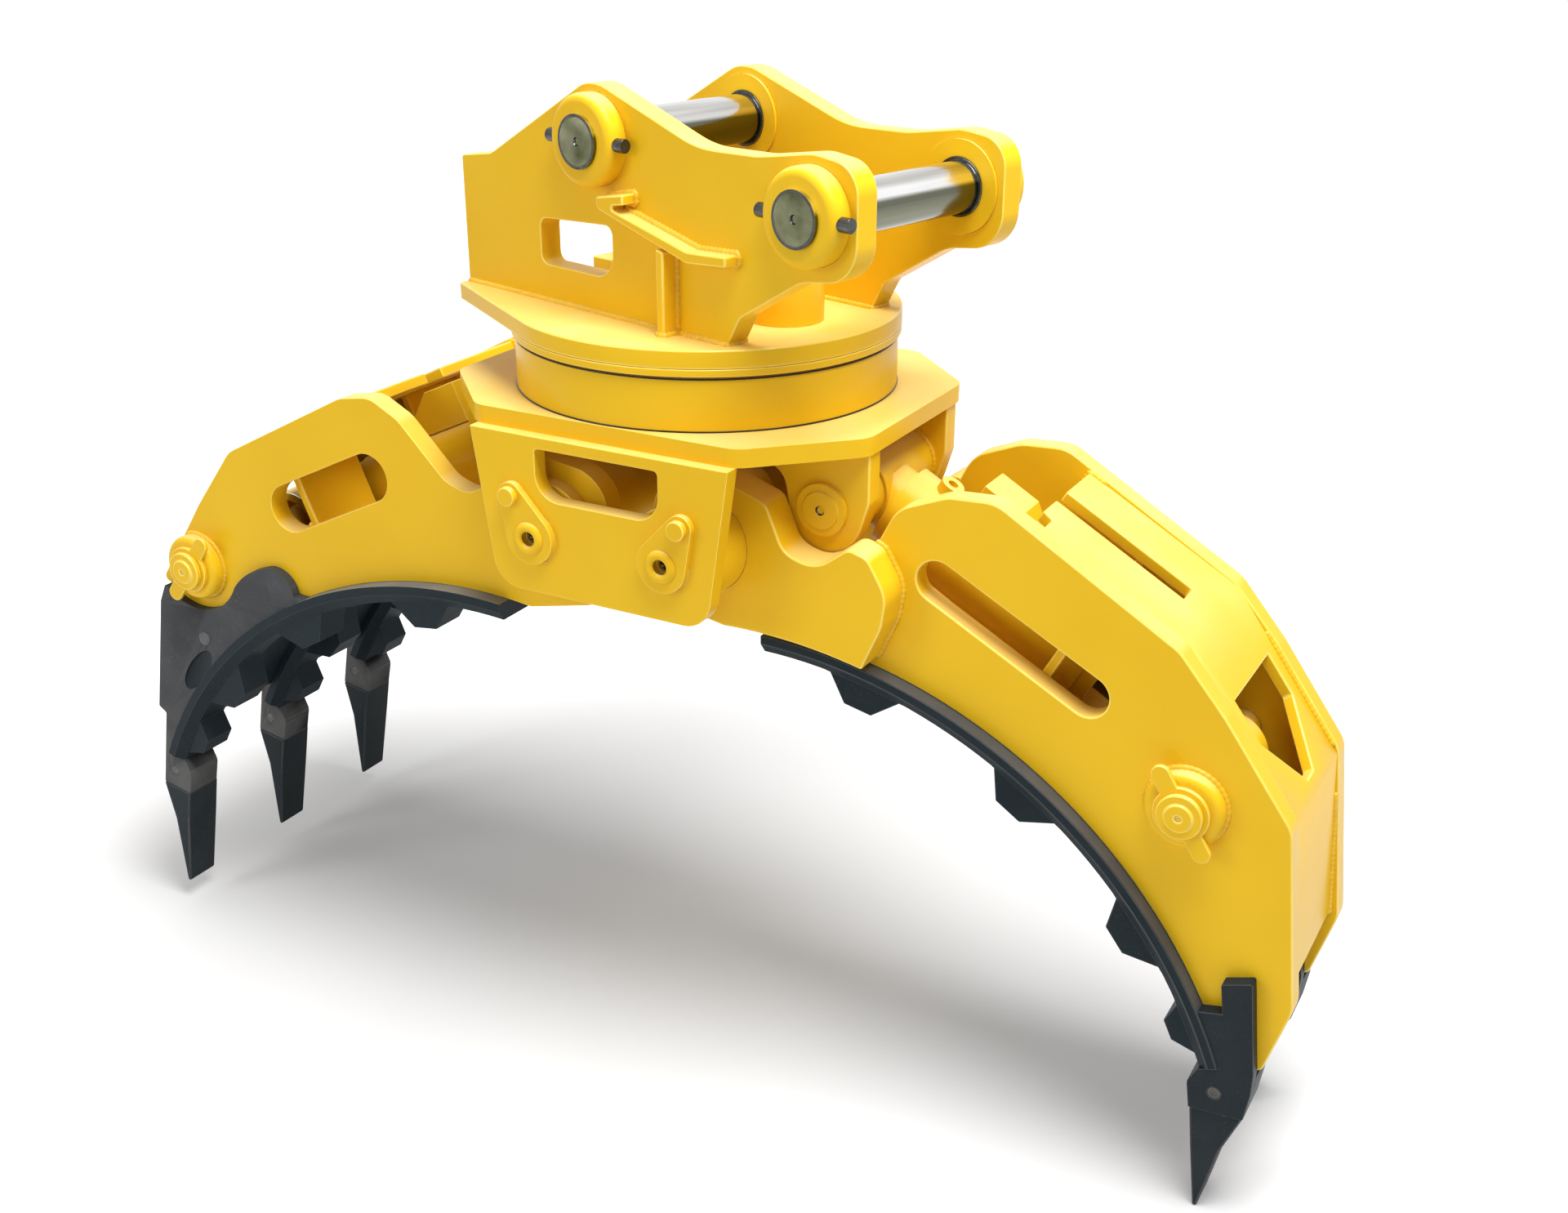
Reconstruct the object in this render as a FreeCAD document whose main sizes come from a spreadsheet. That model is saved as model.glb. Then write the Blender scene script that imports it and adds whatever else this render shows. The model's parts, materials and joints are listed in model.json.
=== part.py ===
import FreeCAD, Part
import math
import os

V3 = FreeCAD.Vector
doc = FreeCAD.newDocument("rock_grapple")
sheet = doc.addObject("Spreadsheet::Sheet", "sizes")

# Whole object: the row origin is on the floor under the middle of the bounding box
ring_shift = -3.3434  # slewing axis from the row origin, along X
pivot_height = 1004.0  # jaw pivot axes above the floor
pivot_half = 125.0  # jaw pivot axis from the slewing axis, along X
left_extra = 4.3  # how much further the left jaw stands open, degrees
head_turn = -14.7  # head turned about the slewing axis, degrees
run_gap = 0.05  # radial running clearance of a pin in its bore
side_gap = 2.0  # axial clearance beside a hub

# Lower frame
ring_seat = 200.0  # top plate upper face above the pivot axes
top_thick = 30.0  # top plate thickness
top_half_x = 392.0  # top plate half length
top_half_y = 325.0  # top plate half width
top_chamfer = 150.0  # top plate corner cut
top_round = 45.0  # top plate corner rounding
top_hole = 200.0  # radius of the opening in the top plate
end_gap = 26.0  # gap between the wide jaw and an end plate
end_thick = 30.0  # end plate thickness
wide_face = 289.0  # outer face of the left jaw's side plates
end_face = wide_face + end_gap + end_thick
end_top_half = 240.0  # end plate half width at the top
end_low_half = 200.0  # end plate half width at the bottom
end_drop = 97.0  # end plate lower edge under the pivot axes
end_corner = 50.0  # end plate lower corner radius
window_half = 115.0  # end plate window half width
window_low = 65.0  # window lower edge above the pivot axes
window_high = 150.0  # window upper edge above the pivot axes
window_corner = 55.0  # window lower corner radius
lug_face = 165.0  # outer face of a cylinder lug, along Y
lug_thick = 38.0  # cylinder lug thickness
lug_round = 72.0  # cylinder lug outer radius
lug_web_low = 128.0  # lower edge of the web that joins the lugs
cyl_x = 183.0  # cylinder pin axis from the jaw pivot, along X
cyl_z = 68.0  # cylinder pin axis above the jaw pivot
pin_r = 45.0  # jaw pivot pin radius
cyl_pin_r = 35.0  # cylinder pin radius
cyl_pin_head = 43.0  # cylinder pin end disc radius
keeper_thick = 12.0  # keeper plate thickness
keeper_r = 44.0  # keeper plate radius about the pin
keeper_tip_r = 22.0  # keeper plate radius at its bolt
keeper_dx = 34.0  # keeper bolt from the pin axis, along X
keeper_dz = 68.0  # keeper bolt above the pin axis
bolt_r = 10.0  # keeper bolt shank radius
bolt_head_r = 16.0  # keeper bolt head radius
bolt_head = 12.0  # keeper bolt head height

# Slewing ring, gear and rotary drive
ring_r = 320.0  # slewing ring outer race radius
ring_height = 86.0  # outer race height
race_gap = 3.0  # gap between the outer race and the part above
race_r = 326.0  # upper race and base plate radius
race_height = 12.0  # upper race flange height
race_split = 286.0  # radius where the two races meet
gear_module = 8.0  # gear module
gear_teeth = 60.0  # teeth on the inner gear of the outer race
pinion_teeth = 15.0  # pinion teeth
gear_width = 44.0  # gear face width
gear_slack = 1.9  # tooth thinning on each gear
screw_circle = 303.0  # outer race screw circle radius
screw_r = 8.0  # race screw radius
screw_count = 24.0  # race screws on the full circle
screw_grip = 40.0  # race screw length inside the race
motor_r = 62.0  # slewing motor body radius
motor_height = 120.0  # slewing motor height over the base plate
swivel_r = 55.0  # rotary oil joint radius
swivel_flange = 76.0  # rotary oil joint flange radius
race_play = 0.3  # radial play between the races
shaft_r = 22.0  # pinion shaft radius
spigot_r = 40.0  # slewing motor spigot radius
port_r = 9.0  # oil port thread radius
port_depth = 18.0  # first oil port depth
port_step = 2.0  # each oil port reaches this much deeper than the last, to its own groove

# Head
base_thick = 30.0  # head base plate thickness
base_rear = 398.0  # rear edge of the base plate
base_half = 208.0  # half width of the base plate at the rear
base_notch = 95.0  # half width of the rear notch
ear_in = 146.0  # inner face of an ear plate
ear_thick = 42.0  # ear plate thickness
ear_rear = 396.0  # rear edge of an ear plate
head_pin_r = 40.0  # head pin radius between the ears
head_seat_r = 42.0  # head pin radius in the near ear
head_nose_r = 39.0  # head pin radius in the far ear
pin_a_x = -52.0  # arm pin axis from the slewing axis
pin_a_z = 607.0  # arm pin axis above the jaw pivots
pin_b_x = 407.0  # link pin axis from the slewing axis
pin_b_z = 550.0  # link pin axis above the jaw pivots
boss_r = 72.0  # ear boss outer radius
ear_lobe = 84.0  # ear plate radius round a head pin
boss_out = 34.0  # ear boss beyond the ear plate
boss_in = 4.0  # ear boss inside the ear plate
pin_end = 6.0  # head pin end disc beyond its boss
cross_r = 11.0  # cross bolt radius
cross_len = 178.0  # cross bolt length

# Jaws, in the jaw's own frame with its origin on the pivot axis
plate_thick = 40.0  # jaw side plate thickness
narrow_face = 170.0  # outer face of the right jaw's side plates
hub_r = 84.0  # jaw hub radius
cheek = 65.0  # right jaw cheek thickness
cheek_rise = 22.0  # cheek edge outside the inner edge arc
eye_x = 806.0  # rod pin axis from the jaw pivot
eye_z = -291.0  # rod pin axis below the jaw pivot
rod_pin_r = 32.0  # rod pin radius
eye_boss_r = 62.0  # boss radius round the rod pin
eye_boss = 26.0  # boss height round the rod pin
eye_boss_round = 12.0  # edge rounding of that boss
rod_pin_head = 36.0  # rod pin end disc radius
flag_thick = 8.0  # rod pin keeper thickness
flag_reach = 68.0  # rod pin keeper end from the pin axis
flag_r = 15.0  # rod pin keeper end radius
flag_tilt = 122.0  # rod pin keeper direction, degrees
arc_r = 872.0  # radius of the inner edge arc
arc_drop = 158.0  # highest point of the inner edge arc under the pivot axis
nose_x = 908.5  # nose of a side plate from the jaw pivot
nose_drop = 735.0  # nose of a side plate under the pivot axis
strip_depth = 34.0  # wear strip depth
strip_flat = 16.0  # depth of a wear strip's square edge
strip_width = 96.0  # wear strip width
sheet_thick = 20.0  # inner and back sheet thickness
rib_angle = 62.0  # rib direction from the arc centre, degrees
rib_thick = 16.0  # rib thickness
rib_clear = 92.0  # rib inner edge from the middle plane
lump = 48.0  # wear strip tooth height
lump_half = 32.0  # wear strip tooth half width
weld_gap = 0.3  # gap under the wear strip
tooth_width = 78.0  # tooth width at its root
tooth_tip = 68.0  # tooth width at its tip
fork_half = 44.0  # half width of a right tooth adapter
casting_half = 36.0  # half thickness of a left tine casting
right_tip = 1004.0  # right tooth tips under the pivot axes
left_tip = 1029.0  # left tooth tips under the left jaw's pivot
tine_pin_r = 11.0  # tooth retaining pin radius
tine_pin_x = 902.0  # tooth retaining pin from the jaw pivot, along X
tine_pin_z = -768.0  # tooth retaining pin from the jaw pivot, along Z

# Cylinders
barrel_r = 72.0  # barrel outer radius
bore_r = 57.0  # barrel bore radius
barrel_len = 470.0  # barrel mouth from the cylinder pin axis
barrel_floor = 92.0  # bore floor from the cylinder pin axis
barrel_eye_r = 62.0  # barrel eye outer radius
barrel_back = 66.0  # barrel end from the cylinder pin axis
barrel_eye_half = 60.0  # half width of the barrel eye
gland_r = 66.0  # gland head radius
gland_len = 26.0  # gland head length
rod_r = 37.5  # rod radius
rod_eye_r = 67.0  # rod eye outer radius
rod_eye_half = 42.0  # half width of the rod eye
rod_eye_slack = 18.0  # radial play of the rod eye on its pin
piston_len = 55.0  # piston length
guard_half = 36.0  # pipe guard half width
guard_top = 142.0  # pipe guard height over the barrel axis
guard_start = 172.0  # pipe guard start from the cylinder pin axis
guard_len = 134.0  # pipe guard length
lug_boss_r = 58.0  # cylinder pin boss radius

# The sheet holds the sizes that the plate sketches follow
rows = (("ring_seat", ring_seat), ("top_thick", top_thick), ("end_face", end_face), ("end_thick", end_thick),
        ("lug_face", lug_face), ("lug_thick", lug_thick), ("ear_in", ear_in), ("ear_thick", ear_thick),
        ("narrow_face", narrow_face), ("wide_face", wide_face), ("plate_thick", plate_thick))
for number, (name, value) in enumerate(rows, 1):
    sheet.set("A%d" % number, name)
    sheet.set("B%d" % number, repr(value))
    sheet.setAlias("B%d" % number, name)
doc.recompute()


def link(obj, prop, text):
    obj.setExpression(prop, text)


# Row placements of the groups
root = V3(ring_shift, 0, pivot_height)
flat = FreeCAD.Placement(root, FreeCAD.Rotation())
Y = V3(0, 1, 0)
Z = V3(0, 0, 1)


def turned(base, axis, angle):
    return FreeCAD.Placement(base, FreeCAD.Rotation(axis, angle))


head_place = turned(root, Z, head_turn)
right_place = FreeCAD.Placement(root + V3(pivot_half, 0, 0), FreeCAD.Rotation())
left_place = turned(root - V3(pivot_half, 0, 0), Z, 180)
left_place = left_place * FreeCAD.Placement(V3(), FreeCAD.Rotation(Y, -left_extra))


def plane(body, role):
    for feature in body.Origin.OriginFeatures:
        if feature.Role == role:
            return feature


def rounded(points):
    # Corner list (x, y, radius) to lines and tangent arcs, in order
    out = []
    ends = []
    total = len(points)
    for i in range(total):
        px, py, r = points[i]
        ax, ay, _ = points[i - 1]
        bx, by, _ = points[(i + 1) % total]
        if r <= 0:
            ends.append(((px, py), None, (px, py)))
            continue
        ua = V3(ax - px, ay - py, 0)
        ub = V3(bx - px, by - py, 0)
        la = ua.Length
        lb = ub.Length
        ua.normalize()
        ub.normalize()
        half = ua.getAngle(ub) / 2
        cut = min(r / math.tan(half), la * 0.499, lb * 0.499)
        r = cut * math.tan(half)
        mid = ua + ub
        mid.normalize()
        reach = r / math.sin(half) - r
        a = (px + ua.x * cut, py + ua.y * cut)
        b = (px + ub.x * cut, py + ub.y * cut)
        m = (px + mid.x * reach, py + mid.y * reach)
        ends.append((a, m, b))
    for i in range(total):
        a, m, b = ends[i]
        if m is not None:
            out.append(("arc", a, m, b))
        nxt = ends[(i + 1) % total][0]
        if math.hypot(nxt[0] - b[0], nxt[1] - b[1]) > 1e-6:
            out.append(("line", b, nxt))
    return out


def draw(sketch, loop):
    for seg in loop:
        if seg[0] == "line":
            geo = Part.LineSegment(V3(seg[1][0], seg[1][1], 0), V3(seg[2][0], seg[2][1], 0))
        elif seg[0] == "arc":
            geo = Part.Arc(*[V3(p[0], p[1], 0) for p in seg[1:4]])
        else:
            geo = Part.Circle(V3(seg[1][0], seg[1][1], 0), Z, seg[2])
        sketch.addGeometry(geo, False)


made = {}


def finish(name, obj, place):
    obj.Label = name
    obj.Placement = place
    made[name] = obj
    return obj


def new_sketch(body, role, loops, offset=0.0, text=None):
    sketch = body.newObject("Sketcher::SketchObject", body.Name + "_outline")
    sketch.AttachmentSupport = [(plane(body, role), "")]
    sketch.MapMode = "FlatFace"
    sketch.AttachmentOffset = FreeCAD.Placement(V3(0, 0, offset), FreeCAD.Rotation())
    if text:
        link(sketch, "AttachmentOffset.Base.z", text)
    for loop in loops:
        draw(sketch, loop)
    return sketch


def pad(body, role, loops, length, offset="0", midplane=False):
    # Plate cut to a drawn outline; length and offset are sheet expressions
    sketch = new_sketch(body, role, loops, 0.0, offset)
    feature = body.newObject("PartDesign::Pad", body.Name + "_pad")
    feature.Profile = sketch
    feature.Midplane = midplane
    feature.Length = 10.0
    link(feature, "Length", length)
    body.Tip = feature
    return feature


def body_of(name):
    return doc.addObject("PartDesign::Body", name)


# Sketches on the XZ plane look along +Y, so an offset of a is the plane y = -a
def side_plate(name, loops, outer, thick, sign, place):
    body = body_of(name)
    if sign < 0:
        start = "%s - %s" % (outer, thick)
    else:
        start = "-(%s)" % outer
    pad(body, "XZ_Plane", loops, thick, start)
    return finish(name, body, place)


def slab(loop, y0, y1):
    # Solid between two Y planes from an outline in X and Z
    edges = []
    for seg in loop:
        if seg[0] == "line":
            a = V3(seg[1][0], y0, seg[1][1])
            b = V3(seg[2][0], y0, seg[2][1])
            edges.append(Part.makeLine(a, b))
        else:
            pts = [V3(p[0], y0, p[1]) for p in seg[1:4]]
            edges.append(Part.Arc(*pts).toShape())
    wire = Part.Wire(Part.__sortEdges__(edges))
    return Part.Face(wire).extrude(V3(0, y1 - y0, 0))


def rod_y(x, z, r, y0, y1):
    return Part.makeCylinder(r, y1 - y0, V3(x, y0, z), Y)


def feature(name, shape, place):
    obj = doc.addObject("Part::Feature", name)
    obj.Shape = shape
    return finish(name, obj, place)


# Lower frame: octagonal top plate with the ring opening
a = top_half_x
b = top_half_y
c = top_chamfer
r = top_round
octagon = rounded([(-a, -b + c, r), (-a + c, -b, r), (a - c, -b, r), (a, -b + c, r),
                   (a, b - c, r), (a - c, b, r), (-a + c, b, r), (-a, b - c, r)])
body = body_of("frame_top_plate")
opening = [("circle", (0, 0), top_hole)]
screw_cap = screw_r * 1.6


def screw_spots():
    # Ring screws, left out where an end plate or a lug plate stands under the top plate
    spots = []
    for k in range(int(screw_count)):
        t = 2 * math.pi * k / int(screw_count)
        y = screw_circle * math.sin(t)
        past_lug = abs(y) > lug_face + screw_cap
        inside_lug = abs(y) < lug_face - lug_thick - screw_cap
        inside_end = abs(y) < end_face - end_thick - screw_cap
        if (past_lug or inside_lug) and inside_end:
            spots.append((screw_circle * math.cos(t), y))
    return spots


holes = [[("circle", spot, screw_r)] for spot in screw_spots()]
pad(body, "XY_Plane", [octagon, opening] + holes, "sizes.top_thick", "sizes.ring_seat - sizes.top_thick")
finish("frame_top_plate", body, flat)

# End plates: tapered, with a round-bottomed window and the jaw pin bores
under = ring_seat - top_thick
r = end_corner
ring_loop = rounded([(-end_top_half, under, 0), (-end_low_half, -end_drop, r),
                     (end_low_half, -end_drop, r), (end_top_half, under, 0)])
w = window_half
window = rounded([(-w, window_high, 8), (-w, window_low, window_corner),
                  (w, window_low, window_corner), (w, window_high, 8)])
bores = []
for s in (-1, 1):
    bores.append([("circle", (s * pivot_half, 0), pin_r)])
side_plate("frame_end_plate_near", [ring_loop, window] + bores, "sizes.end_face", "sizes.end_thick", -1, flat)
side_plate("frame_end_plate_far", [ring_loop, window] + bores, "sizes.end_face", "sizes.end_thick", 1, flat)

# Lug plates that carry the two cylinder pins, joined by a web under the top plate
qx = pivot_half + cyl_x
qz = cyl_z
lr = lug_round
web = lug_web_low
lug_loop = rounded([(-qx - lr - 8, under, 0), (-qx - lr - 8, qz + 20, 30),
                    (-qx - lr * 0.72, qz - lr, lr * 0.9),
                    (-qx + lr * 0.72, qz - lr, lr * 0.9), (-qx + lr, web, 40), (qx - lr, web, 40),
                    (qx - lr * 0.72, qz - lr, lr * 0.9), (qx + lr * 0.72, qz - lr, lr * 0.9),
                    (qx + lr + 8, qz + 20, 30), (qx + lr + 8, under, 0)])
bores = []
for s in (-1, 1):
    bores.append([("circle", (s * qx, qz), cyl_pin_r)])
side_plate("frame_lug_plate_near", [lug_loop] + bores, "sizes.lug_face", "sizes.lug_thick", -1, flat)
side_plate("frame_lug_plate_far", [lug_loop] + bores, "sizes.lug_face", "sizes.lug_thick", 1, flat)


def pin_with_cup(x, z, r, half, cup_r, cup):
    # Plain pin with a shallow cup turned in each end
    solid = rod_y(x, z, r, -half, half)
    for s in (-1, 1):
        y0 = s * half
        tool = rod_y(x, z, cup_r, min(y0, y0 - s * cup), max(y0, y0 - s * cup))
        solid = solid.cut(tool)
    return solid


pins = [pin_with_cup(s * pivot_half, 0, pin_r, end_face, 13, 9) for s in (-1, 1)]
feature("jaw_pivot_pins", Part.makeCompound(pins), flat)

# Teardrop keepers over the jaw pins, each held by one bolt
keepers = []
bolts = []
for sy in (-1, 1):
    for sx in (-1, 1):
        x = sx * pivot_half
        bx = x + sx * keeper_dx
        bz = keeper_dz
        y0 = sy * end_face
        y1 = y0 + sy * keeper_thick
        lo, hi = min(y0, y1), max(y0, y1)
        big = keeper_r
        small = keeper_tip_r
        span = math.hypot(bx - x, bz)
        tilt = math.atan2(bz, bx - x)
        spread = math.acos((big - small) / span)
        pts = []
        for sign in (1, -1):
            t = tilt + sign * spread
            pts.append((x + big * math.cos(t), big * math.sin(t)))
            pts.append((bx + small * math.cos(t), bz + small * math.sin(t)))
        web_loop = [("line", pts[0], pts[1]), ("line", pts[1], pts[3]), ("line", pts[3], pts[2]),
                    ("line", pts[2], pts[0])]
        solid = slab(web_loop, lo, hi).fuse(rod_y(x, 0, big, lo, hi)).fuse(rod_y(bx, bz, small, lo, hi))
        solid = solid.removeSplitter()
        solid = solid.cut(rod_y(x, 0, 14, lo, hi)).cut(rod_y(bx, bz, bolt_r, lo, hi))
        keepers.append(solid)
        y2 = y1 + sy * bolt_head
        bolt = rod_y(bx, bz, bolt_head_r, min(y1, y2), max(y1, y2))
        bolts.append(bolt.fuse(rod_y(bx, bz, bolt_r, lo, hi)).removeSplitter())
feature("frame_pin_keepers", Part.makeCompound(keepers), flat)
feature("frame_keeper_bolts", Part.makeCompound(bolts), flat)

# Cylinder pins with an end disc, and their flag keepers on the near side
pins = []
for s in (-1, 1):
    pin = rod_y(s * qx, qz, cyl_pin_r, -lug_face, lug_face)
    disc = rod_y(s * qx, qz, cyl_pin_head, -lug_face - 8, -lug_face)
    pins.append(pin.fuse(disc).removeSplitter())
feature("cylinder_pins", Part.makeCompound(pins), flat)
bosses = []
for s in (-1, 1):
    x = s * qx
    for sy in (-1, 1):
        y0 = sy * (lug_thick - lug_face)
        y1 = sy * (barrel_eye_half + side_gap)
        y1 = -y1
        lo, hi = min(y0, y1), max(y0, y1)
        bosses.append(rod_y(x, qz, lug_boss_r, lo, hi).cut(rod_y(x, qz, cyl_pin_r, lo, hi)))
feature("frame_cylinder_bosses", Part.makeCompound(bosses), flat)

# Slewing ring: outer race with inner gear, on the frame
module = gear_module
teeth = int(gear_teeth)
pitch_r = module * teeth / 2
tip_r = pitch_r - module
root_r = pitch_r + 1.25 * module
slack = gear_slack


def gear_edge(count, r_tip, r_root, thick_tip, thick_root, x0, z, phase):
    pts = []
    for k in range(count):
        t = 2 * math.pi * k / count + phase
        for rr, half_w in ((r_root, -thick_root / 2), (r_tip, -thick_tip / 2),
                           (r_tip, thick_tip / 2), (r_root, thick_root / 2)):
            ang = t + half_w / rr
            pts.append(V3(x0 + rr * math.cos(ang), rr * math.sin(ang), z))
    pts.append(pts[0])
    return Part.makePolygon(pts)


low = ring_seat
high = low + ring_height
shell = Part.makeCylinder(ring_r, ring_height, V3(0, 0, low))
shell = shell.cut(Part.makeCylinder(race_split, ring_height, V3(0, 0, low)))
turn = math.radians(head_turn)
hollow = Part.Face(Part.Wire(gear_edge(teeth, tip_r, root_r, module - slack, 2.1 * module - slack,
                                       0, low, turn))).extrude(V3(0, 0, gear_width))
gear = Part.makeCylinder(race_split + 5, gear_width, V3(0, 0, low)).cut(hollow)
outer = shell.fuse(gear).removeSplitter()
for x, y in screw_spots():
    outer = outer.cut(Part.makeCylinder(screw_r, screw_grip, V3(x, y, low)))
feature("slew_outer_race", outer, flat)
screws = []
for x, y in screw_spots():
    shank = Part.makeCylinder(screw_r, top_thick + screw_grip, V3(x, y, under))
    cap = Part.makeCylinder(screw_cap, 14, V3(x, y, under - 14))
    screws.append(shank.fuse(cap).removeSplitter())
feature("slew_ring_screws", Part.makeCompound(screws), flat)

# Upper race, bolted under the head and running inside the outer one
plate_low = high + race_gap + race_height
upper = Part.makeCylinder(race_r, race_height, V3(0, 0, high + race_gap))
neck_r = race_split - race_play
upper = upper.fuse(Part.makeCylinder(neck_r, 30, V3(0, 0, high - 26)))
upper = upper.cut(Part.makeCylinder(neck_r - 26, 80, V3(0, 0, high - 40)))
feature("slew_inner_race", upper.removeSplitter(), head_place)

# Head base plate: round over the ring, square at the rear, notched between the ears
plate_top = plate_low + base_thick
disc = Part.makeCylinder(race_r, base_thick, V3(0, 0, plate_low))
back = base_rear
bh = base_half
# The rear wing's sides run from its corners to touch the disc
reach = math.hypot(back, bh)
lean = math.acos(race_r / reach)
corner = math.atan2(bh, -back)
touch = V3(race_r * math.cos(corner - lean), race_r * math.sin(corner - lean), 0)
wing = [V3(-back, -bh, plate_low), V3(touch.x, -touch.y, plate_low), V3(touch.x, touch.y, plate_low),
        V3(-back, bh, plate_low)]
wing.append(wing[0])
wing = Part.Face(Part.makePolygon(wing)).extrude(V3(0, 0, base_thick))
base = disc.fuse(wing).removeSplitter()
notch = Part.makeBox(160, 2 * base_notch, base_thick, V3(-back, -base_notch, plate_low))
base = base.cut(notch)
base = base.cut(Part.makeCylinder(swivel_r + 1, base_thick, V3(0, 0, plate_low)))
motor_x = pitch_r - module * pinion_teeth / 2
base = base.cut(Part.makeCylinder(spigot_r, base_thick, V3(motor_x, 0, plate_low)))
feature("head_base_plate", base, head_place)

# Ear plates with two pin bosses, a window and a swept front edge
ax, az = pin_a_x, pin_a_z
bx, bz = pin_b_x, pin_b_z
br = boss_r
rear = ear_rear
lobe = ear_lobe
ear_loop = rounded([(-rear, plate_top, 0), (-rear, 545, 6), (-318, 556, 10), (ax - 22, az + lobe, lobe),
                    (ax + 14, az + lobe, lobe), (175, 618, 200), (300, bz + lobe - 14, 160),
                    (bx, bz + lobe + 2, lobe), (bx + lobe, bz + lobe - 8, lobe),
                    (bx + lobe, bz - lobe, lobe), (bx - 20, bz - lobe - 14, 80),
                    (262, 378, 30), (236, plate_top, 0)])
ear_window = rounded([(-196, 392, 16), (-20, 392, 40), (-20, 476, 16), (-196, 466, 16)])
for sy, name in ((-1, "head_ear_near"), (1, "head_ear_far")):
    body = body_of(name)
    start = "sizes.ear_in" if sy < 0 else "-sizes.ear_in - sizes.ear_thick"
    loops = [ear_loop, ear_window]
    loops.append([("circle", (ax, az), br)])
    loops.append([("circle", (bx, bz), br)])
    pad(body, "XZ_Plane", loops, "sizes.ear_thick", start)
    finish(name, body, head_place)

# Bosses welded through the ears, bored for the stepped head pins
bosses = []
for sy in (-1, 1):
    y_in = ear_in - boss_in
    y_out = ear_in + ear_thick + boss_out
    for x, z in ((ax, az), (bx, bz)):
        lo, hi = min(sy * y_in, sy * y_out), max(sy * y_in, sy * y_out)
        boss = rod_y(x, z, br, lo, hi)
        bore = head_seat_r if sy < 0 else head_nose_r
        boss = boss.cut(rod_y(x, z, bore, lo, hi))
        y_edge = sy * y_out
        rim = [e for e in boss.Edges if abs(e.BoundBox.YMin - y_edge) < 0.1
               and abs(e.BoundBox.YMax - y_edge) < 0.1 and e.BoundBox.XLength > br * 1.9]
        boss = boss.makeFillet(14, rim)
        if sy < 0:
            mid = -y_out + 17
            drill = Part.makeCylinder(cross_r, cross_len,
                                      V3(x - cross_len / 2, mid, z), V3(1, 0, 0))
            boss = boss.cut(drill)
        bosses.append(boss)
feature("head_pin_bosses", Part.makeCompound(bosses), head_place)

# Head pins: seat, clear shaft between the ears, and nose; a disc closes the near end
y_near = ear_in + ear_thick + boss_out
y_gap = ear_in - boss_in
for x, z, name in ((ax, az, "head_pin_arm"), (bx, bz, "head_pin_link")):
    pin = rod_y(x, z, head_seat_r, -y_near - pin_end, -y_gap + 3)
    pin = pin.fuse(rod_y(x, z, head_pin_r, -y_gap + 3, y_gap - 3))
    pin = pin.fuse(rod_y(x, z, head_nose_r, y_gap - 3, y_near + pin_end))
    mid = -y_near + 17
    drill = Part.makeCylinder(cross_r, cross_len,
                              V3(x - cross_len / 2, mid, z), V3(1, 0, 0))
    pin = pin.cut(drill)
    feature(name, pin, head_place)
cross = []
for x, z in ((ax, az), (bx, bz)):
    mid = -y_near + 17
    start = V3(x - cross_len / 2, mid, z)
    bolt = Part.makeCylinder(cross_r, cross_len, start, V3(1, 0, 0))
    cross.append(bolt)
feature("head_cross_bolts", Part.makeCompound(cross), head_place)

# Angled gusset strip on each ear's outer face, down to the base plate
gussets = []
for sy in (-1, 1):
    y0 = ear_in + ear_thick
    y1 = y0 + 30
    lo, hi = min(sy * y0, sy * y1), max(sy * y0, sy * y1)
    lip = rounded([(40, 536, 0), (-22, 526, 0), (-22, 508, 12), (178, 452, 30), (262, 458, 0), (262, 474, 0),
                   (180, 470, 20), (-2, 514, 8), (40, 520, 0)])
    gussets.append(slab(lip, lo, hi))
    rib = rounded([(112, plate_top, 0), (128, plate_top, 0), (128, 461, 0), (112, 465, 0)])
    gussets.append(slab(rib, lo, hi))
feature("head_gussets", Part.makeCompound(gussets), head_place)

# Cross web between the ears behind the link pin
web_box = Part.makeBox(28, 2 * ear_in, 150, V3(82, -ear_in, plate_top))
feature("head_cross_web", web_box, head_place)

# Slewing motor with its pinion, and the rotary oil joint on the slewing axis
motor = Part.makeCylinder(motor_r, motor_height, V3(motor_x, 0, plate_top))
motor = motor.fuse(Part.makeCylinder(spigot_r, base_thick, V3(motor_x, 0, plate_low)))
shaft_top = plate_top + 20
motor = motor.cut(Part.makeCylinder(shaft_r + run_gap, shaft_top + 1 - plate_low,
                                    V3(motor_x, 0, plate_low)))
feature("slew_motor", motor.removeSplitter(), head_place)
teeth_p = int(pinion_teeth)
pp = module * teeth_p / 2
outline = gear_edge(teeth_p, pp + 0.85 * module, pp - 1.25 * module, module - slack,
                    2.1 * module - slack, motor_x, low + 2, math.pi / teeth_p)
pinion = Part.Face(Part.Wire(outline)).extrude(V3(0, 0, gear_width - 4))
shaft = Part.makeCylinder(shaft_r, shaft_top - low - 2, V3(motor_x, 0, low + 2))
pinion = pinion.fuse(shaft).removeSplitter()
feature("slew_pinion", pinion, head_place)
swivel = Part.makeCylinder(swivel_r, plate_top + 60 - under, V3(0, 0, under))
swivel = swivel.fuse(Part.makeCylinder(swivel_flange, 16, V3(0, 0, plate_top)))
for k in range(4):
    t = math.radians(45 + 90 * k)
    depth = port_depth + k * port_step
    at = V3(34 * math.cos(t), 34 * math.sin(t), plate_top + 60 - depth)
    swivel = swivel.cut(Part.makeCylinder(port_r, depth, at))
feature("rotary_oil_joint", swivel.removeSplitter(), head_place)


# Jaw outlines in X and Z from the pivot axis
acr = arc_r
acz = -arc_drop - arc_r
acx = nose_x - math.sqrt(arc_r ** 2 - (nose_drop + acz) ** 2)


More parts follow.
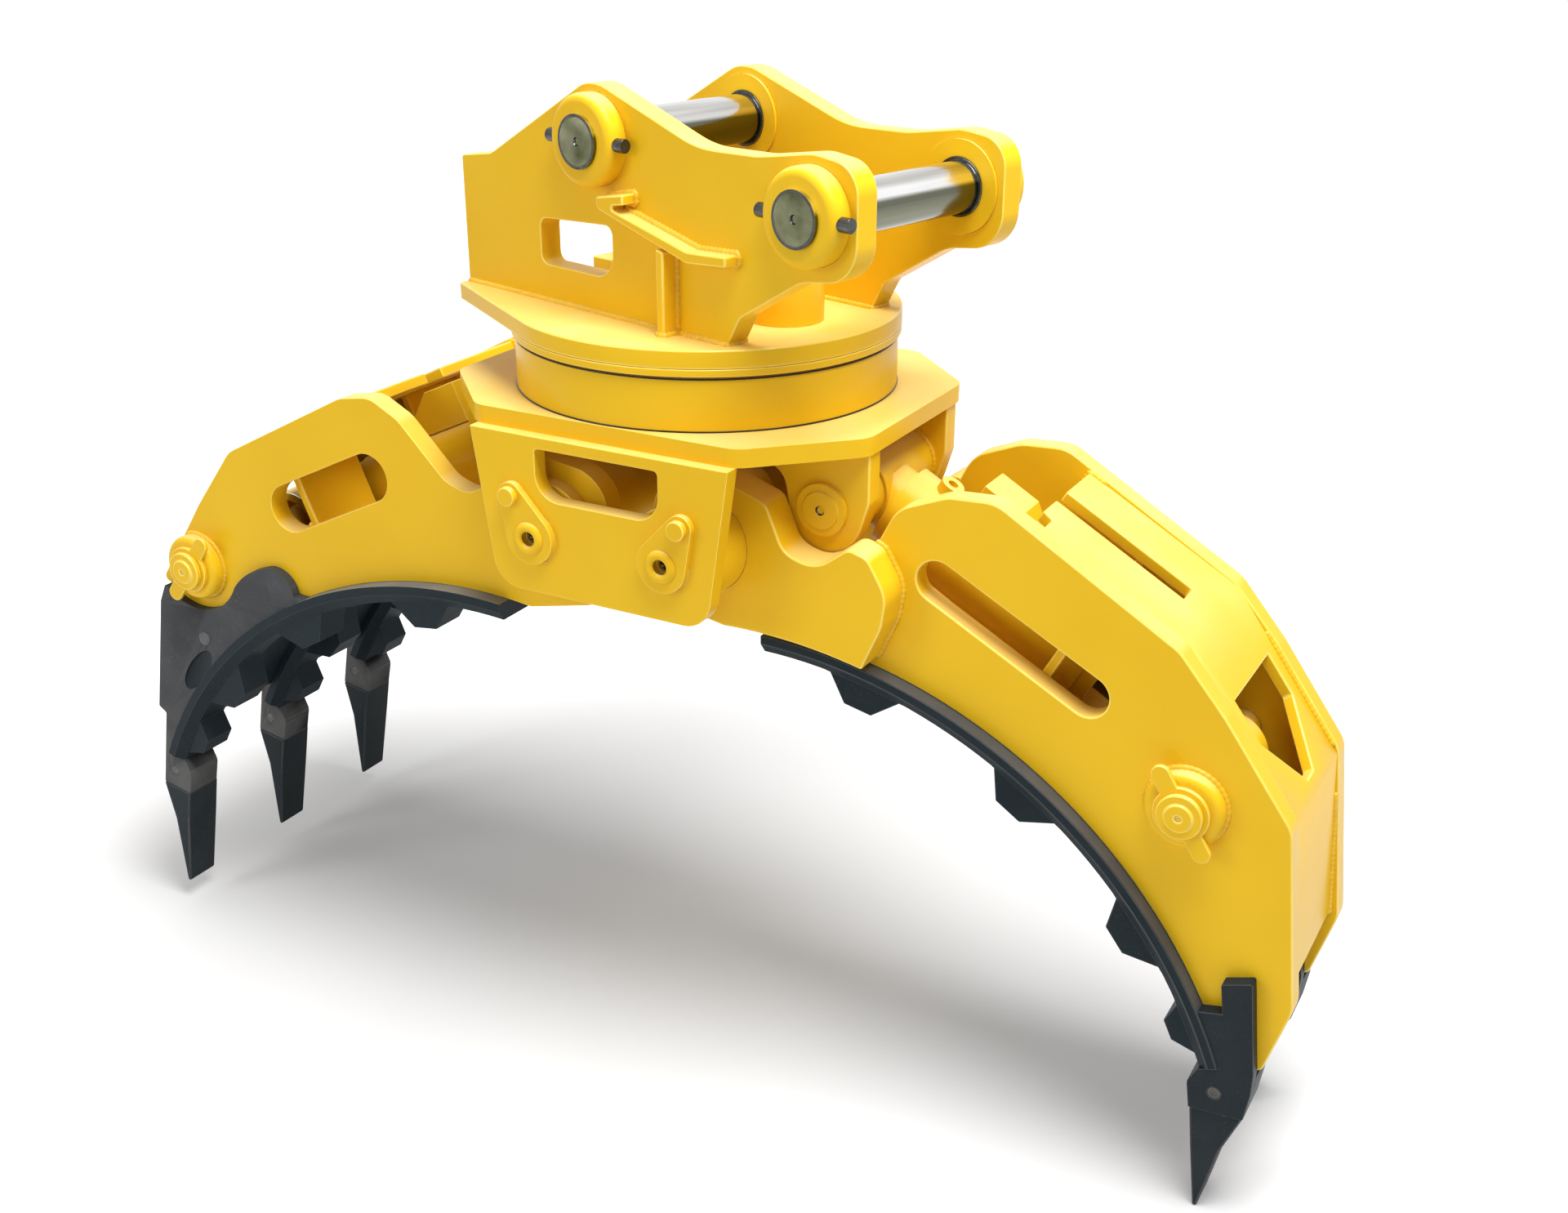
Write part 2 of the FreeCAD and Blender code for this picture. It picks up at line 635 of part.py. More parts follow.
def on_arc(radius, angle):
    t = math.radians(angle)
    return (acx + radius * math.cos(t), acz + radius * math.sin(t))


def arc_angle(radius, x):
    return math.degrees(math.acos((x - acx) / radius))


ex, ez = eye_x, eye_z
cx, cz = cyl_x, cyl_z
nose_z = -nose_drop
nose_angle = math.degrees(math.asin((nose_z - acz) / acr))
heel_angle = 93.0


def jaw_loop(rim, radius, end_angle):
    # Rim corners from the pivot round the back, closed by an arc along the inner edge
    start_angle = heel_angle
    first = on_arc(radius, start_angle)
    last = on_arc(radius, end_angle)
    chain = [(first[0], first[1], 0)] + rim + [(last[0], last[1], 0)]
    segs = rounded(chain)
    closing = None
    for seg in segs:
        if seg[0] == "line":
            if math.hypot(seg[1][0] - last[0], seg[1][1] - last[1]) < 1e-6:
                if math.hypot(seg[2][0] - first[0], seg[2][1] - first[1]) < 1e-6:
                    closing = seg
    segs.remove(closing)
    mid = on_arc(radius, (start_angle + end_angle) / 2)
    segs.append(("arc", last, mid, first))
    return segs


pivot_rim = [(-92, -118, 40), (-118, 0, 70), (-92, 108, 70), (60, 118, 60)]
right_rim = pivot_rim + [(112, -12, 30), (186, -30, 60), (262, -8, 50), (312, 92, 60), (396, 126, 60),
                         (474, 130, 60), (772, -46, 60), (850, -137, 90), (964, -293, 50), (1000, -597, 60),
                         (966, -716, 12), (nose_x + 24, nose_z, 0)]
left_rim = pivot_rim + [(128, 40, 40), (176, 12, 45), (222, 22, 60), (322, 108, 60), (384, 134, 50),
                        (450, 118, 60), (716, -44, 60), (800, -168, 60), (906, -346, 12)]
right_loop = jaw_loop(right_rim, acr, nose_angle)
wave_angle = arc_angle(acr, 535.0)

# Lower edge of the left side plates: round the rod pin boss, then a hump to the inner edge
w0 = (ex + 74.0, ez - 62.0)
w1 = (ex - 4.0, ez - 86.0)
w2 = (ex - 100.0, ez - 15.0)
swell = (670.0, -268.0)
w3 = (634.0, -249.0)
hump = (604.0, -243.0)
dip = (560.0, -283.0)
w4 = on_arc(acr, wave_angle)


def left_plate_loop():
    first = on_arc(acr, heel_angle)
    chain = [(first[0], first[1], 0)] + left_rim + [(w0[0], w0[1], 0), (w4[0], w4[1], 0)]
    segs = rounded(chain)
    keep = []
    for seg in segs:
        drop = False
        if seg[0] == "line":
            a, b = seg[1], seg[2]
            if math.dist(a[:2], w0[:2]) < 1e-6 and math.dist(b[:2], w4[:2]) < 1e-6:
                drop = True
            if math.dist(a[:2], w4[:2]) < 1e-6 and math.dist(b[:2], first[:2]) < 1e-6:
                drop = True
        if not drop:
            keep.append(seg)
    keep.append(("arc", w0, w1, w2))
    keep.append(("arc", w2, swell, w3))
    keep.append(("arc", w3, hump, dip))
    keep.append(("line", dip, w4))
    keep.append(("arc", w4, on_arc(acr, (heel_angle + wave_angle) / 2), first))
    return keep


def slot(x0, z0, x1, z1, r):
    # Round-ended slot between two centres
    t = math.atan2(z1 - z0, x1 - x0)
    nx, nz = -math.sin(t) * r, math.cos(t) * r
    dx, dz = math.cos(t) * r, math.sin(t) * r
    a, b = (x0 + nx, z0 + nz), (x1 + nx, z1 + nz)
    c, d = (x1 - nx, z1 - nz), (x0 - nx, z0 - nz)
    return [("line", a, b), ("arc", b, (x1 + dx, z1 + dz), c), ("line", c, d),
            ("arc", d, (x0 - dx, z0 - dz), a)]


pin_hole = [("circle", (0, 0), hub_r)]
eye_hole = [("circle", (ex, ez), rod_pin_r + run_gap)]
right_slot = slot(384, -15, 638, -150, 34)
left_slot = slot(392, -14, 574, -118, 44)
loops = [right_loop, pin_hole, eye_hole, right_slot]
side_plate("right_side_plate_near", loops, "sizes.narrow_face", "sizes.plate_thick", -1, right_place)
side_plate("right_side_plate_far", loops, "sizes.narrow_face", "sizes.plate_thick", 1, right_place)
# The left jaw is turned half round, so its near side is at +Y of its own frame
left_loop = left_plate_loop()
loops = [left_loop, pin_hole, eye_hole, left_slot]
side_plate("left_side_plate_near", loops, "sizes.wide_face", "sizes.plate_thick", 1, left_place)
side_plate("left_side_plate_far", loops, "sizes.wide_face", "sizes.plate_thick", -1, left_place)

# Hubs: tubes along the pivot axes between the end plates
hub_end = end_face - end_thick - side_gap
for name, place in (("right_hub", right_place), ("left_hub", left_place)):
    tube = rod_y(0, 0, hub_r, -hub_end, hub_end)
    tube = tube.cut(rod_y(0, 0, pin_r + run_gap, -hub_end, hub_end))
    feature(name, tube, place)

# Cheeks that widen the narrow jaw at its pivot
cheek_rim = [(-70, -118, 40), (-100, 0, 60), (-80, 92, 60), (30, 116, 50), (118, 86, 24), (150, 10, 40),
             (206, -6, 60), (262, 38, 20), (296, 28, 26), (330, -30, 60), (322, -84, 60)]
cheek_end = arc_angle(acr + cheek_rise, 290.0)
cheek_loop = jaw_loop(cheek_rim, acr + cheek_rise, cheek_end)
cheeks = []
for sy in (-1, 1):
    y0 = sy * narrow_face
    y1 = y0 + sy * cheek
    lo, hi = min(y0, y1), max(y0, y1)
    cheeks.append(slab(cheek_loop, lo, hi).cut(rod_y(0, 0, hub_r, lo, hi)))
feature("right_pivot_cheeks", Part.makeCompound(cheeks), right_place)


def bent(points, thick):
    # Sheet along a bent line: the line and its parallel, mitred at each bend
    inner = []
    total = len(points)
    for i in range(total):
        dirs = []
        if i > 0:
            dirs.append(V3(points[i][0] - points[i - 1][0], points[i][1] - points[i - 1][1], 0))
        if i < total - 1:
            dirs.append(V3(points[i + 1][0] - points[i][0], points[i + 1][1] - points[i][1], 0))
        norms = []
        for d in dirs:
            d.normalize()
            norms.append(V3(d.y, -d.x, 0))
        n = norms[0]
        if len(norms) == 2:
            n = norms[0] + norms[1]
            n.normalize()
            n = n * (1 / n.dot(norms[0]))
        inner.append((points[i][0] + n.x * thick, points[i][1] + n.y * thick))
    ring = list(points) + inner[::-1]
    return [("line", ring[i], ring[(i + 1) % len(ring)]) for i in range(len(ring))]


def along(p, q, s):
    d = math.hypot(q[0] - p[0], q[1] - p[1])
    return (p[0] + (q[0] - p[0]) * s / d, p[1] + (q[1] - p[1]) * s / d)


def facet_tool(p, q, outline, depth):
    # Prism through a bent sheet's flat, drawn as (distance from p, y)
    d = V3(q[0] - p[0], 0, q[1] - p[1])
    d.normalize()
    n = V3(-d.z, 0, d.x)
    if n.x + n.z < 0:
        n = n * -1
    pts = [V3(p[0], 0, p[1]) + d * s + V3(0, y, 0) + n * 30 for s, y in outline]
    pts.append(pts[0])
    return Part.Face(Part.makePolygon(pts)).extrude(n * -(depth + 60))


sheet_t = sheet_thick
crest = (470, 124)
knee = (776, -50)
bend = (962, -300)
foot = (984, -592)
mid_knee = (850, -148)


def jaw_back(name, line, half, place, window):
    sheet_loop = bent(line, sheet_t)
    solid = slab(sheet_loop, -half, half)
    for tool in window:
        solid = solid.cut(tool)
    feature(name, solid, place)
    return solid


narrow_in = narrow_face - plate_thick
wide_in = wide_face - plate_thick
start = along(crest, knee, 54)
right_line = [start, knee, bend, foot]
tools = [facet_tool(crest, knee, [(54, -22), (300, -22), (300, 22), (20, 22), (20, -22)], sheet_t),
         facet_tool(crest, knee, [(40, -128), (74, -118), (74, -84), (40, -74)], sheet_t),
         facet_tool(knee, bend, [(112, -96), (112, 96), (186, 96), (288, 18), (288, -18), (186, -96)],
                    sheet_t)]
right_back = jaw_back("right_back_sheet", right_line, narrow_in, right_place, tools)
l_crest = (446, 112)
l_knee = (716, -46)
l_bend = (904, -345)
l_foot = (950, -600)
start = along(l_crest, l_knee, 40)
left_line = [start, l_knee, l_bend, l_foot]
tools = [facet_tool(l_crest, l_knee, [(20, -22), (270, -22), (270, 22), (20, 22)], sheet_t),
         facet_tool(l_knee, l_bend, [(150, -64), (150, 64), (364, 64), (364, -64)], sheet_t),
         facet_tool(l_bend, l_foot, [(-18, -64), (-18, 64), (70, 64), (70, -64)], sheet_t)]
left_back = jaw_back("left_back_sheet", left_line, wide_in, left_place, tools)


# Inner sheets follow the inner edge arc between the side plates
def inner_sheet(half, a0, a1):
    loop = [("arc", on_arc(acr, a0), on_arc(acr, (a0 + a1) / 2), on_arc(acr, a1)),
            ("line", on_arc(acr, a1), on_arc(acr + sheet_t, a1)),
            ("arc", on_arc(acr + sheet_t, a1), on_arc(acr + sheet_t, (a0 + a1) / 2),
             on_arc(acr + sheet_t, a0)),
            ("line", on_arc(acr + sheet_t, a0), on_arc(acr, a0))]
    return slab(loop, -half, half)


sheet_low = 24.0
right_inner = inner_sheet(narrow_in, 84.0, sheet_low)
left_inner = inner_sheet(wide_in, 84.0, sheet_low)
feature("right_inner_sheet", right_inner, right_place)
feature("left_inner_sheet", left_inner, left_place)

# Cross ribs inside each jaw, clear of the cylinder
def ribs(half, top, drop):
    # Rib pair beside the cylinder's path, square to the inner edge arc, up to the back sheet
    t = math.radians(rib_angle)
    along_rib = V3(math.cos(t), 0, math.sin(t))
    across = V3(-along_rib.z, 0, along_rib.x) * (rib_thick / 2)
    d = V3(drop[0] - top[0], 0, drop[1] - top[1])
    d.normalize()
    out_way = V3(-d.z, 0, d.x)
    if out_way.z < 0:
        out_way = out_way * -1
    level = out_way.dot(V3(top[0], 0, top[1])) - sheet_t
    corners = []
    for side in (across, across * -1):
        base = V3(acx, 0, acz) + side
        low_end = base + along_rib * (acr + sheet_t)
        rise = (level - out_way.dot(base)) / out_way.dot(along_rib)
        corners.append((low_end, base + along_rib * rise))
    ring = [corners[0][0], corners[0][1], corners[1][1], corners[1][0]]
    loop = [("line", (ring[i].x, ring[i].z), (ring[(i + 1) % 4].x, ring[(i + 1) % 4].z)) for i in range(4)]
    return [slab(loop, -half, -rib_clear), slab(loop, rib_clear, half)]


feature("right_ribs", Part.makeCompound(ribs(narrow_in, crest, knee)), right_place)
feature("left_ribs", Part.makeCompound(ribs(wide_in, l_crest, l_knee)), left_place)

# Rod pin bosses, pins and keepers; the pin's head and keeper are on the near side
def disc_y(r, near, y0, y1):
    # Disc about the rod pin axis; near is -1 or 1, the near side in the jaw's frame
    return rod_y(ex, ez, r, min(near * y0, near * y1), max(near * y0, near * y1))


def eye_bosses(face):
    out = []
    for sy in (-1, 1):
        boss = disc_y(eye_boss_r, sy, face, face + eye_boss)
        y_edge = sy * (face + eye_boss)
        rim = [e for e in boss.Edges
               if abs(e.BoundBox.YMin - y_edge) < 0.1 and abs(e.BoundBox.YMax - y_edge) < 0.1]
        boss = boss.makeFillet(eye_boss_round, rim)
        out.append(boss.cut(disc_y(rod_pin_r + run_gap, sy, face, face + eye_boss)))
    return Part.makeCompound(out)


feature("right_rod_pin_bosses", eye_bosses(narrow_face), right_place)
feature("left_rod_pin_bosses", eye_bosses(wide_face), left_place)
for face, side, near, place in ((narrow_face, "right", -1, right_place), (wide_face, "left", 1, left_place)):
    end = face + eye_boss
    top = end + flag_thick
    pin = rod_y(ex, ez, rod_pin_r, -end, end).fuse(disc_y(rod_pin_r, near, end - 1, top))
    pin = pin.fuse(disc_y(rod_pin_head, near, top, top + 10))
    pin = pin.fuse(disc_y(rod_pin_head * 0.62, near, top + 10, top + 14)).removeSplitter()
    feature("rod_pin_" + side, pin, place)
    dx = flag_reach * math.cos(math.radians(flag_tilt))
    dz = flag_reach * math.sin(math.radians(flag_tilt))
    loop = slot(ex + dx, ez + dz, ex - dx, ez - dz, flag_r)
    flag = slab(loop, min(near * end, near * top), max(near * end, near * top))
    flag = flag.fuse(disc_y(rod_pin_head + 8, near, end, top)).removeSplitter()
    flag = flag.cut(disc_y(rod_pin_r + run_gap, near, end, top))
    feature("rod_pin_keeper_" + side, flag, place)

# Wear strips: a six-sided bar swept along the inner edge, with welded teeth
grip = strip_width / 2
depth = strip_depth
strip_in = acr - depth


def wear_strip(yc, a0, a1, lumps):
    top_r = acr - weld_gap
    flat_r = acr - strip_flat
    sec = [(top_r, -grip), (top_r, grip), (flat_r, grip), (strip_in, grip - 14), (strip_in, 14 - grip),
           (flat_r, -grip)]
    t = math.radians(a0)
    pts = [V3(acx + rr * math.cos(t), yc + y, acz + rr * math.sin(t)) for rr, y in sec]
    pts.append(pts[0])
    solid = Part.Face(Part.makePolygon(pts)).revolve(V3(acx, yc, acz), V3(0, 1, 0), a0 - a1)
    for ang, share in lumps:
        base, top = strip_in + 6, strip_in - lump * share
        spots = ((base, 5.0), (top, 2.2), (top, -1.4), (base, -4.6))
        pts = [on_arc(rr, ang + turn_by * share) for rr, turn_by in spots]
        loop = [("line", pts[i], pts[(i + 1) % 4]) for i in range(4)]
        solid = solid.fuse(slab(loop, yc - lump_half, yc + lump_half))
    return solid.removeSplitter()


tine_end = nose_angle + 1.0
lumps = ((77.1, 1.0), (55.9, 1.0), (36.9, 1.0), (25.0, 0.7))
narrow_mid = narrow_face - plate_thick / 2
wide_mid = wide_face - plate_thick / 2
strips = [wear_strip(s * narrow_mid, 90.0, tine_end, lumps) for s in (-1, 1)]
feature("right_wear_strips", Part.makeCompound(strips), right_place)
strips = [wear_strip(s * wide_mid, 90.0, tine_end, lumps) for s in (-1, 1)]
strips.append(wear_strip(0, 60.0, tine_end, lumps[1:]))
feature("left_wear_strips", Part.makeCompound(strips), left_place)

# Tooth adapters and castings, and the points they carry
seam_back = (951.0, -802.0)
left_seam_back = (932.0, -802.0)
seam_front = (864.0, -808.0)
strip_tip = on_arc(strip_in, tine_end)
arc_tip = on_arc(acr, tine_end)
low_arc = on_arc(acr, nose_angle)


def tine_pin(yc, reach):
    # Tooth retaining pin across an adapter
    return rod_y(tine_pin_x, tine_pin_z, tine_pin_r, yc - reach, yc + reach)


fork_z = -628.0


def fork(yc):
    # Right jaw adapter: forked over the side plate's nose
    top = (acx + math.sqrt(acr ** 2 - (fork_z - acz) ** 2), fork_z)
    outline = [(top[0], top[1], 0), (900, -620, 0), (893, -568, 4), (940, -552, 4), (959, -715, 20),
               (958, -755, 20), (seam_back[0], seam_back[1], 0), (seam_front[0], seam_front[1], 0),
               (857, -760, 20), (strip_tip[0], strip_tip[1], 0), (arc_tip[0], arc_tip[1], 0)]
    keep = []
    for seg in rounded(outline):
        if seg[0] == "line" and math.hypot(seg[1][0] - arc_tip[0], seg[1][1] - arc_tip[1]) < 1e-6:
            continue
        keep.append(seg)
    mid_angle = (tine_end + math.degrees(math.asin((fork_z - acz) / acr))) / 2
    keep.append(("arc", arc_tip, on_arc(acr, mid_angle), top))
    solid = slab(keep, yc - fork_half, yc + fork_half)
    void = Part.makeBox(400, plate_thick, 300, V3(760, yc - plate_thick / 2, nose_z))
    return solid.cut(void)


forks = []
pins = []
for sy in (-1, 1):
    pin = tine_pin(sy * narrow_mid, fork_half)
    pins.append(pin)
    forks.append(fork(sy * narrow_mid).cut(right_inner).cut(pin))
feature("right_adapters", Part.makeCompound(forks), right_place)
feature("right_tooth_pins", Part.makeCompound(pins), right_place)


def casting(yc, outer):
    # Left jaw tine casting: butts on the side plate's waved edge, or on the inner sheet
    half = casting_half
    if outer:
        loop = [("arc", w0, w1, w2), ("arc", w2, swell, w3), ("arc", w3, hump, dip), ("line", dip, w4)]
        a_top = wave_angle
        head = w4
        rear = [(w0[0], w0[1], 0), (888, -352, 0), (902, -388, 15), (931, -628, 4), (913, -638, 4)]
    else:
        a_top = 38.0
        head = on_arc(acr + sheet_t, a_top)
        rear = [(head[0], head[1], 0), (888, -470, 40), (931, -628, 4), (913, -638, 4)]
        loop = []
    rear = rear + [(left_seam_back[0], left_seam_back[1], 0), (seam_front[0], seam_front[1], 0),
                   (857, -760, 20), (strip_tip[0], strip_tip[1], 0), (arc_tip[0], arc_tip[1], 0)]
    segs = rounded(rear)
    first = rear[0]
    for seg in segs:
        if seg[0] == "line":
            same = math.hypot(seg[1][0] - arc_tip[0], seg[1][1] - arc_tip[1]) < 1e-6
            back_to = math.hypot(seg[2][0] - first[0], seg[2][1] - first[1]) < 1e-6
            if same and back_to:
                continue
        loop.append(seg)
    if outer:
        loop.append(("arc", arc_tip, on_arc(acr, (tine_end + a_top) / 2), head))
        return slab(loop, yc - half, yc + half)
    lower = on_arc(acr + sheet_t, sheet_low)
    under_sheet = on_arc(acr, sheet_low)
    loop.append(("arc", arc_tip, on_arc(acr, (tine_end + sheet_low) / 2), under_sheet))
    loop.append(("line", under_sheet, lower))
    loop.append(("arc", lower, on_arc(acr + sheet_t, (sheet_low + a_top) / 2), head))
    return slab(loop, yc - half, yc + half)


blocks = []
pins = []
for sy in (-1, 0, 1):
    pin = tine_pin(sy * wide_mid, casting_half)
    pins.append(pin)
    blocks.append(casting(sy * wide_mid, sy != 0).cut(left_inner).cut(left_back).cut(pin))
feature("left_tine_castings", Part.makeCompound(blocks), left_place)
feature("left_tooth_pins", Part.makeCompound(pins), left_place)


def point(yc, seam, waist, tip_drop):
    # Chisel point lofted from the seam to the tip
    root_half = tooth_width / 2
    tip_half = tooth_tip / 2
    wires = []
    rows = [(seam_front, seam, root_half), ((872, -880), (waist, -880), root_half),
            ((886, -tip_drop), (893, -tip_drop), tip_half)]
    for f, bk, hw in rows:
        pts = [V3(f[0], yc - hw, f[1]), V3(bk[0], yc - hw, bk[1]), V3(bk[0], yc + hw, bk[1]),
               V3(f[0], yc + hw, f[1])]
        pts.append(pts[0])
        wires.append(Part.makePolygon(pts))
    return Part.makeLoft(wires, True, True)


points = [point(s * narrow_mid, seam_back, 920, right_tip) for s in (-1, 1)]
feature("right_points", Part.makeCompound(points), right_place)
points = [point(s * wide_mid, left_seam_back, 908, left_tip) for s in (-1, 0, 1)]
feature("left_points", Part.makeCompound(points), left_place)

# Cylinders: drawn along X from the cylinder pin, then laid towards the rod pin
def cylinder_place(jaw_angle, flip):
    t = math.radians(jaw_angle)
    jx = ex * math.cos(t) - ez * math.sin(t)
    jz = ex * math.sin(t) + ez * math.cos(t)
    dx, dz = jx - cx, jz - cz
    length = math.hypot(dx, dz)
    angle = math.degrees(math.atan2(dz, dx))
    frame = right_place if not flip else turned(root - V3(pivot_half, 0, 0), Z, 180)
    place = frame * FreeCAD.Placement(V3(cx, 0, cz), FreeCAD.Rotation(Y, -angle))
    return place, length


def rod_x(x0, x1, r):
    return Part.makeCylinder(r, x1 - x0, V3(x0, 0, 0), V3(1, 0, 0))


for side, angle, flip in (("right", 0.0, False), ("left", left_extra, True)):
    place, length = cylinder_place(angle, flip)
    eye_w = barrel_eye_half
    pr = cyl_pin_r + run_gap
    barrel = rod_x(barrel_back, barrel_len, barrel_r)
    barrel = barrel.fuse(rod_x(cyl_pin_r, barrel_back, eye_w - 2))
    barrel = barrel.fuse(rod_y(0, 0, barrel_eye_r, -eye_w, eye_w))
    barrel = barrel.cut(rod_x(barrel_floor, barrel_len + 1, bore_r))
    barrel = barrel.cut(rod_y(0, 0, pr, -eye_w - 1, eye_w + 1))
    for x in (barrel_floor + 30, barrel_len - 34):
        lug = Part.makeCylinder(20, 22, V3(x, 0, barrel_r - 4), Z)
        lug = lug.cut(Part.makeCylinder(port_r, port_depth, V3(x, 0, barrel_r + 0.5), Z))
        barrel = barrel.fuse(lug)
    feature("cylinder_barrel_" + side, barrel.removeSplitter(), place)
    gland = rod_x(barrel_len, barrel_len + gland_len, gland_r)
    gland = gland.fuse(rod_x(barrel_len - 40, barrel_len, bore_r))
    gland = gland.cut(rod_x(barrel_len - 41, barrel_len + gland_len + 1,
                            rod_r + run_gap))
    feature("cylinder_gland_" + side, gland.removeSplitter(), place)
    rod_start = barrel_floor + 8
    rod_end = length - rod_eye_r + 6
    rod = rod_x(rod_start, rod_end, rod_r)
    piston = rod_x(rod_start, rod_start + piston_len, bore_r - 0.4)
    rod = rod.fuse(piston).removeSplitter()
    eye = rod_y(length, 0, rod_eye_r, -rod_eye_half, rod_eye_half)
    bore = rod_y(length, 0, rod_pin_r + rod_eye_slack, -rod_eye_half, rod_eye_half)
    rod = rod.fuse(eye).removeSplitter().cut(bore)
    feature("cylinder_rod_" + side, rod, place)
    guard_low = barrel_r - 6
    guard = Part.makeBox(guard_len, 2 * guard_half, guard_top - guard_low,
                         V3(guard_start, -guard_half, guard_low))
    guard_end = guard_start + guard_len
    slope = [V3(guard_end - 60, -guard_half, guard_top), V3(guard_end, -guard_half, guard_top),
             V3(guard_end, -guard_half, guard_top - 46)]
    slope.append(slope[0])
    guard = guard.cut(Part.Face(Part.makePolygon(slope)).extrude(V3(0, 2 * guard_half, 0)))
    guard = guard.cut(rod_x(barrel_back, barrel_len, barrel_r))
    feature("cylinder_pipe_guard_" + side, guard, place)

doc.recompute()
bad = []
for obj in doc.Objects:
    if "Invalid" in obj.State or "Error" in obj.State:
        bad.append(obj.Name)
for name, obj in made.items():
    if obj.Shape.isNull() or not obj.Shape.isValid():
        bad.append(name)
if bad:
    raise RuntimeError("failed objects: " + ", ".join(bad))
os.makedirs("parts", exist_ok=True)
for name, obj in made.items():
    obj.Shape.exportStep("parts/%s.step" % name)
print(len(made), "pieces written")
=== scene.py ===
import json
import math

import bmesh
import bpy
from mathutils import Matrix, Vector
from mathutils.bvhtree import BVHTree


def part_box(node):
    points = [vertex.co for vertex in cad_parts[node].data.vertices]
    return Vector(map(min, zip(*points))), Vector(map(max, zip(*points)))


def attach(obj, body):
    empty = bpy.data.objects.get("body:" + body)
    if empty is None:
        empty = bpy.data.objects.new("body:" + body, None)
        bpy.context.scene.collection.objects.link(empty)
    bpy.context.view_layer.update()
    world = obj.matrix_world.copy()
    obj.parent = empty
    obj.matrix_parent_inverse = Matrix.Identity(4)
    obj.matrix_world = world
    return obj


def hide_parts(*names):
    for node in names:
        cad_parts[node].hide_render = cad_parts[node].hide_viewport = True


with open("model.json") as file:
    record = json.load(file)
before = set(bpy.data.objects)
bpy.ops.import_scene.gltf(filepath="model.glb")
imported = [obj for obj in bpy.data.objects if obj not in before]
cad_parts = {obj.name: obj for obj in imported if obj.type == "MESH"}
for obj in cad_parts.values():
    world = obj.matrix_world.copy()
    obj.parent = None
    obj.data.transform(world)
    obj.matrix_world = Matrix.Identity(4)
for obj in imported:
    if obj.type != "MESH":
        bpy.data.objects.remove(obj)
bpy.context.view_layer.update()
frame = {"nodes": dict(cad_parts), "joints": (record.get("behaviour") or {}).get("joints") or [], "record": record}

# The camera that took the product picture: it stands to the front right and above the part, with a
# long lens. Its place is counted from the slewing axis, at the height of the jaws' hinges.
joint_of = {joint["name"]: joint for joint in frame["joints"]}
slew_place = joint_of["slew"]["pos_m"]
centre = Vector((slew_place[0], slew_place[1], joint_of["jaw_right_swing"]["pos_m"][2]))
azimuth = math.radians(28.51)
elevation = math.radians(23.12)
roll = math.radians(0.34)
distance = 3.1158
aim_right = 0.1314
aim_up = -0.2062
focal_px = 2193.5
image_width_px = 1920
film_width = 36.0
back = Vector((math.sin(azimuth) * math.cos(elevation), -math.cos(azimuth) * math.cos(elevation),
               math.sin(elevation)))
right = Vector((math.cos(azimuth), math.sin(azimuth), 0))
up = back.cross(right)
tilted_right = right * math.cos(roll) + up * math.sin(roll)
tilted_up = up * math.cos(roll) - right * math.sin(roll)
turn = Matrix((tilted_right, tilted_up, back)).transposed().to_4x4()
camera = bpy.data.objects.new("camera", bpy.data.cameras.new("camera"))
bpy.context.scene.collection.objects.link(camera)
camera.matrix_world = Matrix.Translation(centre + right * aim_right + up * aim_up + back * distance) @ turn
camera.data.sensor_width = film_width
camera.data.sensor_fit = "HORIZONTAL"
camera.data.lens = film_width * focal_px / image_width_px
camera.data.clip_end = 60
bpy.context.scene.camera = camera
bpy.context.scene.view_settings.view_transform = "Standard"

# The studio floor: a wide sheet of pale matt paper that the tine tips stand on. It keeps the
# part's own shadow, and fades to plain white away from the part.
floor_reach = 14.0
shadow_edge, white_edge = 0.9, 2.6
least_glow, most_glow = 0.1, 0.9


def wire(tree, source, sink):
    tree.links.new(source, sink)


def band(tree, value, low, high, to_low=0.0, to_high=1.0, smooth=False):
    node = tree.nodes.new("ShaderNodeMapRange")
    if smooth:
        node.interpolation_type = "SMOOTHSTEP"
    node.inputs["From Min"].default_value = low
    node.inputs["From Max"].default_value = high
    node.inputs["To Min"].default_value = to_low
    node.inputs["To Max"].default_value = to_high
    wire(tree, value, node.inputs["Value"])
    return node.outputs["Result"]


def math_node(tree, kind, first, second):
    node = tree.nodes.new("ShaderNodeMath")
    node.operation = kind
    for value, socket in ((first, node.inputs[0]), (second, node.inputs[1])):
        if isinstance(value, float):
            socket.default_value = value
        else:
            wire(tree, value, socket)
    return node.outputs[0]


def background_rays(tree):
    # 1 for the rays that show the background: seen directly, in a reflection or through glass
    path = tree.nodes.new("ShaderNodeLightPath")
    seen = math_node(tree, "MAXIMUM", path.outputs["Is Camera Ray"], path.outputs["Is Glossy Ray"])
    return math_node(tree, "MAXIMUM", seen, path.outputs["Is Transmission Ray"])


